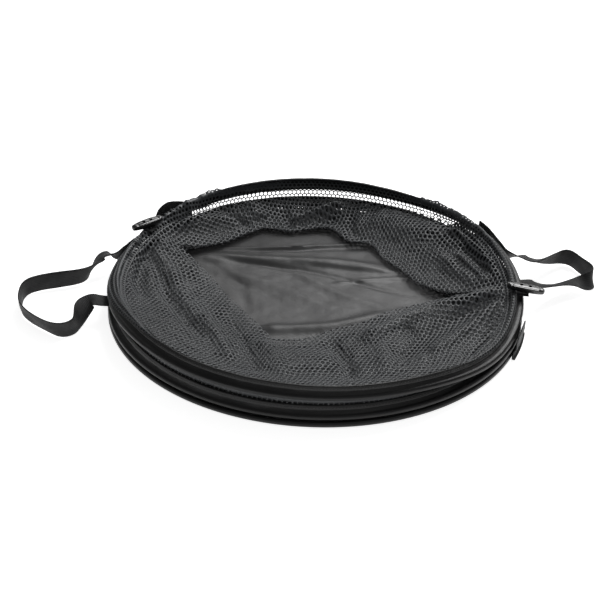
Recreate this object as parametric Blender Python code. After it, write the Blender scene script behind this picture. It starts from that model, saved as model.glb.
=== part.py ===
"""Folding round net trap, stored in its collapsed state.

A solid fabric floor is sewn into a base hoop. Above it a mid hoop and a top
hoop lie on the stack, joined by slack mesh walls that fold inwards and leave an
eye-shaped mouth. Two webbing handles hang from the top hoop, two moulded
toggles sit on its rim, and two webbing closure flaps stand on the base hoop.

Frame: origin at the centre of the floor panel's underside, +X towards the
right-hand handle, +Y towards the rear, +Z up. Sizes below are in millimetres.
"""

import math

import bmesh
import bpy
from mathutils import Vector

MM = 0.001

# ---------------------------------------------------------------- hoops
HOOP_R = 276.0  # centre line of every hoop wire
WIRE_R = 1.5
BULB_R = 4.2  # outside of the casing round the wire
CLOTH = 0.8  # one layer of casing cloth
TAIL = 13.6  # from the wire's centre to the casing's raw edge
TAIL_HALF = 1.2
SLOT_HALF = 0.4
STATIONS = 56

FERRULE_R, FERRULE_BORE, FERRULE_L = 2.7, 1.9, 20.0

# The spring hoops don't lie flat: each list gives a value every 30 degrees,
# starting at +X and turning towards +Y.
TOP_WIRE_Z = (37.0, 46.5, 43.5, 44.5, 41.5, 32.5, 33.0, 44.0, 44.5, 43.5, 39.0, 25.5)
TOP_LEAN = (54.0, 42.0, 24.0, 10.0, 10.0, 24.0, 42.0, 48.0, 26.0, 14.0, 28.0, 50.0)
MID_WIRE_Z = (14.0, 14.5, 15.0, 15.0, 14.5, 14.0, 14.0, 14.5, 15.0, 15.0, 14.5, 13.6)
MID_LEAN = (38.0, 24.0, 14.0, 12.0, 18.0, 36.0, 40.0, 28.0, 14.0, 16.0, 34.0, 48.0)
BASE_WIRE_Z = (4.2,)
BASE_LEAN = (80.0,)

# ---------------------------------------------------------------- floor and walls
FLOOR_R, FLOOR_T = 271.0, 1.2
# Distance from the middle to the folded edge of the mesh, every 10 degrees.
EYE_R = (
    150, 202, 170, 157, 156, 161, 172, 184, 195, 206, 210, 213,
    214, 213, 216, 203, 164, 136, 118, 108, 102, 99, 99, 101,
    104, 102, 96, 88, 80, 75, 73, 75, 79, 85, 94, 112,
)
EYE_LOW, EYE_HIGH = 6.5, 9.5  # upper wall at its folded edge
LOWER_SET_BACK = 12.0

# ---------------------------------------------------------------- webbing
WEB_W, WEB_T = 25.0, 1.6
TAB_R = 281.4  # inner face of the webbing sewn against the outside of the top hoop
LEFT_HINGE = (-290.0, 0.0, 30.0)
RIGHT_HINGE = (290.0, 0.0, 35.0)
HINGE_GAP = 1.6

# Route of each handle, in order from its rear tab to its front tab: the middle
# of the webbing and the angle of its width, 0 on edge and 90 lying flat.
LEFT_ROUTE = (
    (-293, 74, 29.6, -90), (-300, 74, 26.6, -88), (-307, 63, 19, -50), (-320, 40, 14.5, -10),
    (-354, 26, 13.4, 0), (-379, 15, 13.4, 0), (-393, 3, 13.4, 0), (-397, -18, 13.4, 4),
    (-390, -54, 13.2, 12), (-360, -86, 12.6, 22), (-334, -101, 12.8, 14), (-316, -94, 13.4, 2),
    (-311, -77, 16, -20), (-307, -59, 22, -56), (-300, -48, 26.6, -86), (-293, -48, 29.6, -90),
)
RIGHT_ROUTE = (
    (293, 104, 34.4, 90), (301, 104, 31.4, 88), (319, 117, 24, 48), (336, 133, 18, 26),
    (352, 145, 14.5, 10), (364, 143, 13.6, 0), (376, 124, 13.4, -4), (388, 103, 13.4, -4),
    (388, 86, 13, 16), (375, 77, 12, 60), (358, 70, 14, 100), (338, 58, 18, 114),
    (317, 42, 26, 108), (302, 33, 31.8, 96), (293, 33, 34.6, 90),
)

# ---------------------------------------------------------------- toggles
TOGGLE_L, TOGGLE_W, TOGGLE_H = 52.0, 14.0, 8.0
TOGGLE_HOLE_R, TOGGLE_HOLE_X = 2.0, 6.0
CORD_R, CORD_DROP = 1.2, 1.8
LEFT_TOGGLE = (-242.0, 122.0, 55.2, 224.0)  # middle, then heading in degrees
RIGHT_TOGGLE = (281.0, -13.0, 52.4, -18.0)
TAB_HALF, TAB_T = 7.5, 1.0
LEFT_TAB = (259.0, 282.0, 46.8)  # inner radius, outer radius, underside
RIGHT_TAB = (271.0, 286.0, 43.6)

# ---------------------------------------------------------------- closures
CLOSURE_R = 283.0
CLOSURE_T = 1.6
LEFT_CLOSURE = (131.0, 146.2, 5.0)  # first and last bearing, depth
RIGHT_CLOSURE = (-22.0, -10.0, 2.6)
LEFT_FLAP = (40.0, 45.5, 49.5, 53.0, 56.0, 58.0, 56.5, 52.5, 38.0)  # tops, evenly spaced from first to last
RIGHT_FLAP = (24.0, 28.5, 31.0, 32.5, 33.0, 32.5, 31.0, 28.5, 24.0)
CLOSURE_FOOT = 10.0


def every(values, bearing):
    """A smooth closed curve through values spaced evenly round the circle."""
    n = len(values)
    if n == 1:
        return values[0]
    x = (bearing % 360.0) / 360.0 * n
    i = int(x)
    t = x - i
    a, b, c, d = (values[(i + k) % n] for k in (-1, 0, 1, 2))
    return b + 0.5 * t * (c - a + t * (2 * a - 5 * b + 4 * c - d + t * (3 * (b - c) + d - a)))


def at(radius, bearing, z):
    turn = math.radians(bearing)
    return Vector((radius * math.cos(turn), radius * math.sin(turn), z)) * MM


def material(name, colour, roughness, metallic=0.0):
    made = bpy.data.materials.new(name)
    made.use_nodes = True
    shader = made.node_tree.nodes["Principled BSDF"]
    shader.inputs["Base Color"].default_value = (*colour, 1.0)
    shader.inputs["Roughness"].default_value = roughness
    shader.inputs["Metallic"].default_value = metallic
    return made


def add(name, bm, mat, parent=None, smooth=40.0):
    bmesh.ops.recalc_face_normals(bm, faces=bm.faces[:])
    mesh = bpy.data.meshes.new(name)
    bm.to_mesh(mesh)
    bm.free()
    mesh.shade_smooth()
    mesh.set_sharp_from_angle(angle=math.radians(smooth))
    mesh.materials.append(mat)
    obj = bpy.data.objects.new(name, mesh)
    bpy.context.scene.collection.objects.link(obj)
    if parent is not None:
        place_under(obj, parent)
    return obj


def place_under(obj, parent):
    """The mesh was made in world coordinates, so it moves to its parent's origin."""
    if obj.type == "MESH":
        shift = -parent.location
        for vertex in obj.data.vertices:
            vertex.co += shift
    else:
        obj.location = -parent.location
    obj.parent = parent


def pivot(name, where):
    empty = bpy.data.objects.new(name, None)
    empty.empty_display_size = 0.02
    empty.location = Vector(where) * MM
    bpy.context.scene.collection.objects.link(empty)
    return empty


def bridge(bm, loops, closed_path):
    """Quads between neighbouring loops of the same length, with end faces on an open path."""
    rings = [[bm.verts.new(p) for p in loop] for loop in loops]
    count = len(rings)
    for i in range(count if closed_path else count - 1):
        one, two = rings[i], rings[(i + 1) % count]
        for k in range(len(one)):
            j = (k + 1) % len(one)
            bm.faces.new((one[k], one[j], two[j], two[k]))
    if not closed_path:
        bm.faces.new(rings[0])
        bm.faces.new(rings[-1])


def bearings():
    return [90.0 + 360.0 * k / STATIONS for k in range(STATIONS)]


def on_hoop(wire_z, lean, bearing, a, b):
    """(radius, height) of a point a along the casing's tail and b out from it."""
    tilt = math.radians(every(lean, bearing))
    return (
        HOOP_R - a * math.sin(tilt) + b * math.cos(tilt),
        every(wire_z, bearing) + a * math.cos(tilt) + b * math.sin(tilt),
    )


def casing_profile():
    """Cloth folded round the wire: a keyhole with its slot open along the tail."""
    def arc(radius, half, count):
        start = math.asin(half / radius)
        turns = [start + (2 * math.pi - 2 * start) * k / (count + 1) for k in range(count + 2)]
        return [(radius * math.cos(t), radius * math.sin(t)) for t in turns]

    outside = [(TAIL, TAIL_HALF), (9.0, TAIL_HALF), *arc(BULB_R, TAIL_HALF, 6), (9.0, -TAIL_HALF), (TAIL, -TAIL_HALF)]
    inside = [(TAIL, SLOT_HALF), *arc(BULB_R - CLOTH, SLOT_HALF, 5), (TAIL, -SLOT_HALF)]
    return outside + inside[::-1]


def tape_profile():
    """Binding folded over the casing's raw edge."""
    inner, outer = TAIL_HALF + 0.5, TAIL_HALF + 1.1
    return [
        (8.5, outer), (TAIL + 1.0, outer), (TAIL + 1.0, -outer), (8.5, -outer),
        (8.5, -inner), (TAIL + 0.4, -inner), (TAIL + 0.4, inner), (8.5, inner),
    ]


def hoop_ring(name, profile, wire_z, lean, mat, parent=None):
    bm = bmesh.new()
    loops = []
    for bearing in bearings():
        flat = [on_hoop(wire_z, lean, bearing, a, b) for a, b in profile]
        loops.append([at(r, bearing, z) for r, z in flat])
    bridge(bm, loops, True)
    return add(name, bm, mat, parent)


def hoop_wire(name, wire_z, mat, parent=None):
    """Spring wire bent round, its ends butting at the rear inside the ferrule."""
    turns = [90.25, *bearings()[1:], 449.75]
    curve = bpy.data.curves.new(name, "CURVE")
    curve.dimensions = "3D"
    curve.bevel_depth = WIRE_R * MM
    curve.bevel_resolution = 1
    curve.use_fill_caps = True
    spline = curve.splines.new("POLY")
    spline.points.add(len(turns) - 1)
    for point, bearing in zip(spline.points, turns):
        point.co = (*at(HOOP_R, bearing, every(wire_z, bearing)), 1.0)
    curve.materials.append(mat)
    obj = bpy.data.objects.new(name, curve)
    bpy.context.scene.collection.objects.link(obj)
    if parent is not None:
        place_under(obj, parent)
    return obj


def hoop_ferrule(name, wire_z, mat, parent=None):
    """Crimped sleeve over the wire's butted ends."""
    step = 360.0 / STATIONS
    share = FERRULE_L / 2 / (math.radians(step) * HOOP_R)
    butt = at(HOOP_R, 90.0, every(wire_z, 90.0))
    bm = bmesh.new()
    outer, inner = [], []
    for side in (-1, 0, 1):
        bearing = 90.0 + side * step * share
        far = at(HOOP_R, 90.0 + side * step, every(wire_z, 90.0 + side * step))
        centre = butt.lerp(far, abs(side) * share)
        out = Vector((math.cos(math.radians(bearing)), math.sin(math.radians(bearing)), 0))
        for store, radius in ((outer, FERRULE_R), (inner, FERRULE_BORE)):
            store.append([
                bm.verts.new(centre + (out * math.cos(t) + Vector((0, 0, 1)) * math.sin(t)) * radius * MM)
                for t in (2 * math.pi * k / 10 for k in range(10))
            ])
    for ring in (outer, inner):
        for one, two in zip(ring, ring[1:]):
            for k in range(10):
                j = (k + 1) % 10
                bm.faces.new((one[k], one[j], two[j], two[k]))
    for end in (0, -1):
        for k in range(10):
            j = (k + 1) % 10
            bm.faces.new((outer[end][k], outer[end][j], inner[end][j], inner[end][k]))
    return add(name, bm, mat, parent)


def through(points, steps):
    """Catmull-Rom points through a route, each a tuple of numbers."""
    found = []
    n = len(points)
    for i in range(n - 1):
        a = points[max(i - 1, 0)]
        b, c = points[i], points[i + 1]
        d = points[min(i + 2, n - 1)]
        for k in range(steps):
            t = k / steps
            found.append(tuple(
                q + 0.5 * t * (r - p + t * (2 * p - 5 * q + 4 * r - s + t * (3 * (q - r) + s - p)))
                for p, q, r, s in zip(a, b, c, d)
            ))
    found.append(tuple(points[-1]))
    return found


def ribbon(name, route, width, thick, mat, parent=None, steps=2):
    """Webbing along a route of (x, y, z, turn), its width turned about the route."""
    line = through(route, steps)
    places = [Vector(p[:3]) for p in line]
    bm = bmesh.new()
    loops = []
    for i, p in enumerate(line):
        along = (places[min(i + 1, len(line) - 1)] - places[max(i - 1, 0)]).normalized()
        side = along.cross(Vector((0, 0, 1))).normalized()
        rise = side.cross(along)
        turn = math.radians(p[3])
        across = rise * math.cos(turn) + side * math.sin(turn)
        out = along.cross(across)
        w, t = across * width / 2, out * thick / 2
        loops.append([(places[i] + q) * MM for q in (w + t, -w + t, -w - t, w - t)])
    bridge(bm, loops, False)
    return add(name, bm, mat, parent)


def handle_tab(name, hinge_x, y, hinge_z, top, mat, parent):
    """A handle's sewn end: up against the casing, then a tongue out to the hinge line."""
    sign = math.copysign(1.0, hinge_x)
    tip = abs(hinge_x) - HINGE_GAP
    half = WEB_T / 2
    bm = bmesh.new()
    loops = []
    for side in (-1, 1):
        across = y + side * WEB_W / 2
        leg = math.sqrt(TAB_R**2 - across**2)
        section = [
            (leg, top), (leg + WEB_T, top), (leg + WEB_T, hinge_z + half),
            (tip, hinge_z + half), (tip, hinge_z - half), (leg, hinge_z - half),
        ]
        loops.append([Vector((sign * u, across, z)) * MM for u, z in section])
    bridge(bm, loops, False)
    return add(name, bm, mat, parent)


def wall(name, section, mat, parent=None):
    bm = bmesh.new()
    loops = [[at(r, bearing, z) for r, z in section(bearing)] for bearing in bearings()]
    bridge(bm, loops, True)
    return add(name, bm, mat, parent, smooth=180.0)


def folds(bearing):
    """Heights shared by the two walls at one bearing, so that they stay apart."""
    top = on_hoop(TOP_WIRE_Z, TOP_LEAN, bearing, TAIL, 0.0)
    mid = on_hoop(MID_WIRE_Z, MID_LEAN, bearing, TAIL, 0.0)
    eye = every(EYE_R, bearing)
    hang = (top[0] - 3.4, top[1] - 2.4)
    turn_in = (mid[0] - 3.4, mid[1] - 0.6)
    return hang, turn_in, eye


def upper_section(bearing):
    hang, turn_in, eye = folds(bearing)
    reach = hang[0] - eye
    low_reach = turn_in[0] - eye
    return [
        hang,
        (eye + 0.62 * reach, EYE_HIGH + 0.50 * (hang[1] - EYE_HIGH)),
        (eye + 0.28 * reach, EYE_HIGH + 0.18 * (hang[1] - EYE_HIGH)),
        (eye + 1.0, EYE_HIGH),
        (eye, EYE_LOW),
        (eye + 0.5 * low_reach, EYE_LOW + 0.42 * (turn_in[1] - EYE_LOW)),
        turn_in,
    ]


def lower_section(bearing):
    _, turn_in, eye = folds(bearing)
    low_reach = turn_in[0] - eye
    base = on_hoop(BASE_WIRE_Z, BASE_LEAN, bearing, TAIL, 0.0)
    foot = (base[0] - 3.4, 5.6)
    start = eye + min(LOWER_SET_BACK, 0.4 * low_reach)
    share = (start - eye) / (0.5 * low_reach)
    under = EYE_LOW + 0.42 * (turn_in[1] - EYE_LOW) * min(share, 1.0)
    return [
        (turn_in[0], turn_in[1] - 3.0),
        (eye + 0.5 * low_reach, EYE_LOW + 0.42 * (turn_in[1] - EYE_LOW) - 3.0),
        (start, under - 2.8),
        (start + 1.0, 2.0),
        (start + 0.5 * (foot[0] - start), 2.2),
        foot,
    ]


def toggle_body(name, place, mat, parent):
    """Lens-shaped moulding with two cord holes."""
    x, y, z, heading = place
    bm = bmesh.new()
    loops = []
    count = 12
    for k in range(1, count):
        s = -math.cos(math.pi * k / count)
        full = (1 - s * s) ** 0.5
        half_w = TOGGLE_W / 2 * (0.34 + 0.66 * full) * min(1.0, full * 3.2)
        half_h = TOGGLE_H / 2 * (0.5 + 0.5 * full) * min(1.0, full * 3.2)
        ring = []
        for q in range(14):
            t = 2 * math.pi * (q + 0.5) / 14
            c, d = math.cos(t), math.sin(t)
            ring.append(Vector((
                s * TOGGLE_L / 2,
                half_w * math.copysign(abs(c) ** 0.75, c),
                half_h * math.copysign(abs(d) ** 0.75, d),
            )))
        loops.append(ring)
    turn = math.radians(heading)
    cos, sin = math.cos(turn), math.sin(turn)

    def world(p):
        return Vector((x + p.x * cos - p.y * sin, y + p.x * sin + p.y * cos, z + p.z)) * MM

    bridge(bm, [[world(p) for p in ring] for ring in loops], False)
    obj = add(name, bm, mat, parent)
    for side in (-1, 1):
        cutter = bmesh.new()
        bmesh.ops.create_cone(
            cutter, cap_ends=True, segments=12,
            radius1=TOGGLE_HOLE_R * MM, radius2=TOGGLE_HOLE_R * MM, depth=(TOGGLE_H + 6) * MM,
        )
        where = world(Vector((side * TOGGLE_HOLE_X, 0, 0)))
        bmesh.ops.translate(cutter, verts=cutter.verts[:], vec=where)
        tool = add(f"{name}_drill_{'a' if side < 0 else 'b'}", cutter, mat, parent)
        tool.hide_render = True
        tool.display_type = "WIRE"
        cut = obj.modifiers.new("hole", "BOOLEAN")
        cut.object = tool
        cut.operation = "DIFFERENCE"
        cut.solver = "EXACT"
    return obj


def toggle_cord(name, place, mat, parent):
    """Cord bent up into both holes of the toggle, from the bar below it."""
    x, y, z, heading = place
    turn = math.radians(heading)
    low, high = z - TOGGLE_H / 2 - CORD_DROP, z + TOGGLE_H / 2 - 1.6
    path = [
        (-TOGGLE_HOLE_X, high), (-TOGGLE_HOLE_X, z), (-TOGGLE_HOLE_X, low + 2.2), (-TOGGLE_HOLE_X + 1.4, low + 0.5),
        (-TOGGLE_HOLE_X + 3.4, low), (TOGGLE_HOLE_X - 3.4, low), (TOGGLE_HOLE_X - 1.4, low + 0.5),
        (TOGGLE_HOLE_X, low + 2.2), (TOGGLE_HOLE_X, z), (TOGGLE_HOLE_X, high),
    ]
    curve = bpy.data.curves.new(name, "CURVE")
    curve.dimensions = "3D"
    curve.bevel_depth = CORD_R * MM
    curve.bevel_resolution = 2
    curve.use_fill_caps = True
    spline = curve.splines.new("POLY")
    spline.points.add(len(path) - 1)
    for point, (u, height) in zip(spline.points, path):
        point.co = (*(Vector((x + u * math.cos(turn), y + u * math.sin(turn), height)) * MM), 1.0)
    curve.materials.append(mat)
    obj = bpy.data.objects.new(name, curve)
    bpy.context.scene.collection.objects.link(obj)
    place_under(obj, parent)
    return obj


def toggle_tab(name, place, reach, mat, parent=None):
    """Webbing tab sewn on the rim, under the toggle's cord."""
    x, y, _, _ = place
    first, last, low = reach
    turn = math.atan2(y, x)
    out = Vector((math.cos(turn), math.sin(turn), 0))
    side = Vector((-out.y, out.x, 0)) * TAB_HALF
    section = [
        out * first + Vector((0, 0, low)), out * last + Vector((0, 0, low)),
        out * last + Vector((0, 0, low + TAB_T)), out * first + Vector((0, 0, low + TAB_T)),
    ]
    bm = bmesh.new()
    bridge(bm, [[(p + side * s) * MM for p in section] for s in (-1, 1)], False)
    return add(name, bm, mat, parent)


def closure(name, spec, tops, mat, parent):
    """A flat webbing flap standing against the outside of the stack, with a rounded top."""
    first, last, depth = spec
    low = CLOSURE_FOOT + 2.0
    inner = CLOSURE_R + depth / 2 - CLOSURE_T / 2
    outer = inner + CLOSURE_T
    bm = bmesh.new()
    loops = []
    for k, top in enumerate(tops):
        bearing = first + (last - first) * k / (len(tops) - 1)
        section = [(inner, low), (outer, low), (outer, top), (inner, top)]
        loops.append([at(r, bearing, z) for r, z in section])
    bridge(bm, loops, False)
    return add(name, bm, mat, parent)


def closure_tab(name, spec, mat):
    """Webbing sewn along the outside of the base hoop, under the flap."""
    first, last, depth = spec
    bm = bmesh.new()
    loops = []
    for k in range(5):
        bearing = first - 1.0 + (last - first + 2.0) * k / 4
        inner, outer = CLOSURE_R - 1.8, CLOSURE_R + depth
        section = [(inner, 0.4), (outer, 0.4), (outer, 2.0), (inner + 1.6, 2.0), (inner + 1.6, CLOSURE_FOOT - 1.0), (inner, CLOSURE_FOOT - 1.0)]
        loops.append([at(r, bearing, z) for r, z in section])
    bridge(bm, loops, False)
    return add(name, bm, mat)


def main():
    for obj in list(bpy.data.objects):
        bpy.data.objects.remove(obj, do_unlink=True)

    floor_cloth = material("floor_cloth", (0.09, 0.09, 0.09), 0.45)
    casing_cloth = material("casing_cloth", (0.03, 0.03, 0.03), 0.5)
    tape_cloth = material("tape_cloth", (0.02, 0.02, 0.02), 0.7)
    mesh_cloth = material("mesh_cloth", (0.06, 0.065, 0.07), 0.7)
    webbing = material("webbing", (0.02, 0.021, 0.022), 0.75)
    moulding = material("toggle_plastic", (0.01, 0.01, 0.01), 0.25)
    cord = material("toggle_cord", (0.01, 0.01, 0.01), 0.8)
    wire = material("spring_wire", (0.5, 0.5, 0.52), 0.35, 1.0)
    sleeve = material("ferrule_metal", (0.6, 0.6, 0.62), 0.3, 1.0)

    bm = bmesh.new()
    bmesh.ops.create_cone(
        bm, cap_ends=True, segments=STATIONS, radius1=FLOOR_R * MM, radius2=FLOOR_R * MM, depth=FLOOR_T * MM
    )
    bmesh.ops.translate(bm, verts=bm.verts[:], vec=(0, 0, FLOOR_T / 2 * MM))
    add("floor_panel", bm, floor_cloth)

    mid = pivot("mid_hoop_lift", (0, 0, 0))
    top = pivot("top_hoop_lift", (0, 0, 0))
    top.parent = mid
    hoops = (
        ("base", "base_seam_tape", BASE_WIRE_Z, BASE_LEAN, None),
        ("mid", "mid_seam_tape", MID_WIRE_Z, MID_LEAN, mid),
        ("top", "rim_binding", TOP_WIRE_Z, TOP_LEAN, top),
    )
    for label, tape, wire_z, lean, parent in hoops:
        hoop_wire(f"{label}_hoop_wire", wire_z, wire, parent)
        hoop_ferrule(f"{label}_hoop_ferrule", wire_z, sleeve, parent)
        hoop_ring(f"{label}_hoop_casing", casing_profile(), wire_z, lean, casing_cloth, parent)
        hoop_ring(tape, tape_profile(), wire_z, lean, tape_cloth, parent)

    wall("lower_mesh_wall", lower_section, mesh_cloth)
    wall("upper_mesh_wall", upper_section, mesh_cloth, mid)

    left = pivot("left_handle_hinge", LEFT_HINGE)
    right = pivot("right_handle_hinge", RIGHT_HINGE)
    ribbon("left_handle_strap", LEFT_ROUTE, WEB_W, WEB_T, webbing, left)
    ribbon("right_handle_strap", RIGHT_ROUTE, WEB_W, WEB_T, webbing, right)
    left.parent = right.parent = top

    left_x, _, left_z = LEFT_HINGE
    right_x, _, right_z = RIGHT_HINGE
    handle_tab("left_handle_tab_rear", left_x, 74.0, left_z, 36.0, webbing, top)
    handle_tab("left_handle_tab_front", left_x, -48.0, left_z, 36.0, webbing, top)
    handle_tab("right_handle_tab_rear", right_x, 104.0, right_z, 47.0, webbing, top)
    handle_tab("right_handle_tab_front", right_x, 33.0, right_z, 42.0, webbing, top)

    for side, place, reach in (("left", LEFT_TOGGLE, LEFT_TAB), ("right", RIGHT_TOGGLE, RIGHT_TAB)):
        swivel = pivot(f"{side}_toggle_swivel", place[:3])
        toggle_body(f"{side}_toggle", place, moulding, swivel)
        toggle_cord(f"{side}_toggle_cord", place, cord, swivel)
        toggle_tab(f"{side}_toggle_tab", place, reach, webbing, top)
        swivel.parent = top

    for side, spec, tops in (("left", LEFT_CLOSURE, LEFT_FLAP), ("right", RIGHT_CLOSURE, RIGHT_FLAP)):
        middle = (spec[0] + spec[1]) / 2
        foot = at(CLOSURE_R + spec[2] / 2, middle, CLOSURE_FOOT) / MM
        swing = pivot(f"{side}_closure_hinge", foot)
        closure(f"{side}_closure_flap", spec, tops, webbing, swing)
        closure_tab(f"{side}_closure_tab", spec, webbing)


main()
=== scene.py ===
"""Looks of the folding round net trap: cloth floor, casings, open nets, webbing and toggles."""

import math

import bpy
import numpy as np
from mathutils import Matrix, Vector
from mathutils.kdtree import KDTree


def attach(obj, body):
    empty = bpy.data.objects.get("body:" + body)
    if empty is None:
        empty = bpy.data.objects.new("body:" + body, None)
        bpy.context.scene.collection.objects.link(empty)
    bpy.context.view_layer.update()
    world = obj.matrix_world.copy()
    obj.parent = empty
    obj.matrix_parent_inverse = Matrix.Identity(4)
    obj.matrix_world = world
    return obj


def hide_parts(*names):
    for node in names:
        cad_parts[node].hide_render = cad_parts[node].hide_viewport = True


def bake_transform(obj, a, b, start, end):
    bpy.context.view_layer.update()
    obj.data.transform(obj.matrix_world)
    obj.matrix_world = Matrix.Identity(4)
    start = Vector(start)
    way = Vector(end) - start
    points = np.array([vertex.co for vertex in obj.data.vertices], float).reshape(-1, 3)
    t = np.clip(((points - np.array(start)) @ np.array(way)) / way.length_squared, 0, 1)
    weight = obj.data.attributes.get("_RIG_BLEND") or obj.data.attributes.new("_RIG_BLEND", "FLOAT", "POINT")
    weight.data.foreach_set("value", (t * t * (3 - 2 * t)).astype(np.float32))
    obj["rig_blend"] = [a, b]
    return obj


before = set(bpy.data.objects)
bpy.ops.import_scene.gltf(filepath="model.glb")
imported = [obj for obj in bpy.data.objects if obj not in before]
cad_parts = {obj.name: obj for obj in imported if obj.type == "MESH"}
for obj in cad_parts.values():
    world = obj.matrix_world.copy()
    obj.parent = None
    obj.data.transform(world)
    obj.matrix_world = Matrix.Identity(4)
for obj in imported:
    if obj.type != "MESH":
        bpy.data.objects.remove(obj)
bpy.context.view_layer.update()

MM = 0.001
LIFT = 0.22

# ------------------------------------------------------------------ sizes shared with the CAD, in millimetres
HOOP_R = 276.0
BULB_R = 4.2
TAIL = 13.6
TOP_WIRE_Z = (37.0, 46.5, 43.5, 44.5, 41.5, 32.5, 33.0, 44.0, 44.5, 43.5, 39.0, 25.5)
TOP_LEAN = (54.0, 42.0, 24.0, 10.0, 10.0, 24.0, 42.0, 48.0, 26.0, 14.0, 28.0, 50.0)
MID_WIRE_Z = (14.0, 14.5, 15.0, 15.0, 14.5, 14.0, 14.0, 14.5, 15.0, 15.0, 14.5, 13.6)
MID_LEAN = (38.0, 24.0, 14.0, 12.0, 18.0, 36.0, 40.0, 28.0, 14.0, 16.0, 34.0, 48.0)
BASE_WIRE_Z = (4.2,)
BASE_LEAN = (80.0,)
FLOOR_R = 271.0
WEB_W, WEB_T = 25.0, 1.6
TAB_R = 281.4
LEFT_ROUTE = (
    (-293, 74, 29.6, -90), (-300, 74, 26.6, -88), (-307, 63, 19, -50), (-320, 40, 14.5, -10),
    (-354, 26, 13.4, 0), (-379, 15, 13.4, 0), (-393, 3, 13.4, 0), (-397, -18, 13.4, 4),
    (-390, -54, 13.2, 12), (-360, -86, 12.6, 22), (-334, -101, 12.8, 14), (-316, -94, 13.4, 2),
    (-311, -77, 16, -20), (-307, -59, 22, -56), (-300, -48, 26.6, -86), (-293, -48, 29.6, -90),
)
RIGHT_ROUTE = (
    (293, 104, 34.4, 90), (301, 104, 31.4, 88), (319, 117, 24, 48), (336, 133, 18, 26),
    (352, 145, 14.5, 10), (364, 143, 13.6, 0), (376, 124, 13.4, -4), (388, 103, 13.4, -4),
    (388, 86, 13, 16), (375, 77, 12, 60), (358, 70, 14, 100), (338, 58, 18, 114),
    (317, 42, 26, 108), (302, 33, 31.8, 96), (293, 33, 34.6, 90),
)
TOGGLE_L, TOGGLE_W, TOGGLE_H = 52.0, 14.0, 8.0
TOGGLE_HOLE_R, TOGGLE_HOLE_X = 2.0, 6.0
LEFT_TOGGLE = (-242.0, 122.0, 55.2, 224.0)
RIGHT_TOGGLE = (281.0, -13.0, 52.4, -18.0)
LEFT_TAB = (259.0, 282.0, 46.8)
RIGHT_TAB = (271.0, 286.0, 43.6)
CLOSURE_R, CLOSURE_T, CLOSURE_FOOT = 283.0, 1.6, 10.0
LEFT_CLOSURE = (131.0, 146.2, 5.0)
RIGHT_CLOSURE = (-22.0, -10.0, 2.6)
LEFT_FLAP = (40.0, 45.5, 49.5, 53.0, 56.0, 58.0, 56.5, 52.5, 38.0)
RIGHT_FLAP = (24.0, 28.5, 31.0, 32.5, 33.0, 32.5, 31.0, 28.5, 24.0)

# ------------------------------------------------------------------ drape of the net
# The folded edge of the upper wall, as x, y and height, turning clockwise from the left corner.
EYE = (
    (-198, 119, 24), (-169, 132, 16), (-133, 156, 12), (-96, 190, 12), (-77, 201, 12), (-42, 196, 11),
    (-24, 203, 11), (8, 211, 12), (26, 200, 12), (44, 174, 11), (77, 166, 11), (95, 127, 11),
    (120, 94, 11), (145, 56, 12), (185, 27, 18), (224, 17, 27), (185, 11, 19), (143, -2, 14),
    (97, -24, 12), (66, -50, 11), (25, -70, 10), (-2, -91, 10), (-27, -98, 10), (-54, -97, 10),
    (-63, -84, 10), (-76, -63, 10), (-99, -29, 10), (-125, 13, 10), (-146, 52, 11), (-173, 92, 14), (-184, 104, 18),
)
BEND_Z = (38.0, 50.0, 35.0, 30.0, 32.0, 41.0, 37.0, 47.0, 50.0, 50.0, 44.0, 29.0)  # where it leaves the upright
ROLL = 1.5  # bend radius of the folded edge
PITCH = 6.2  # of the net's holes

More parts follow.
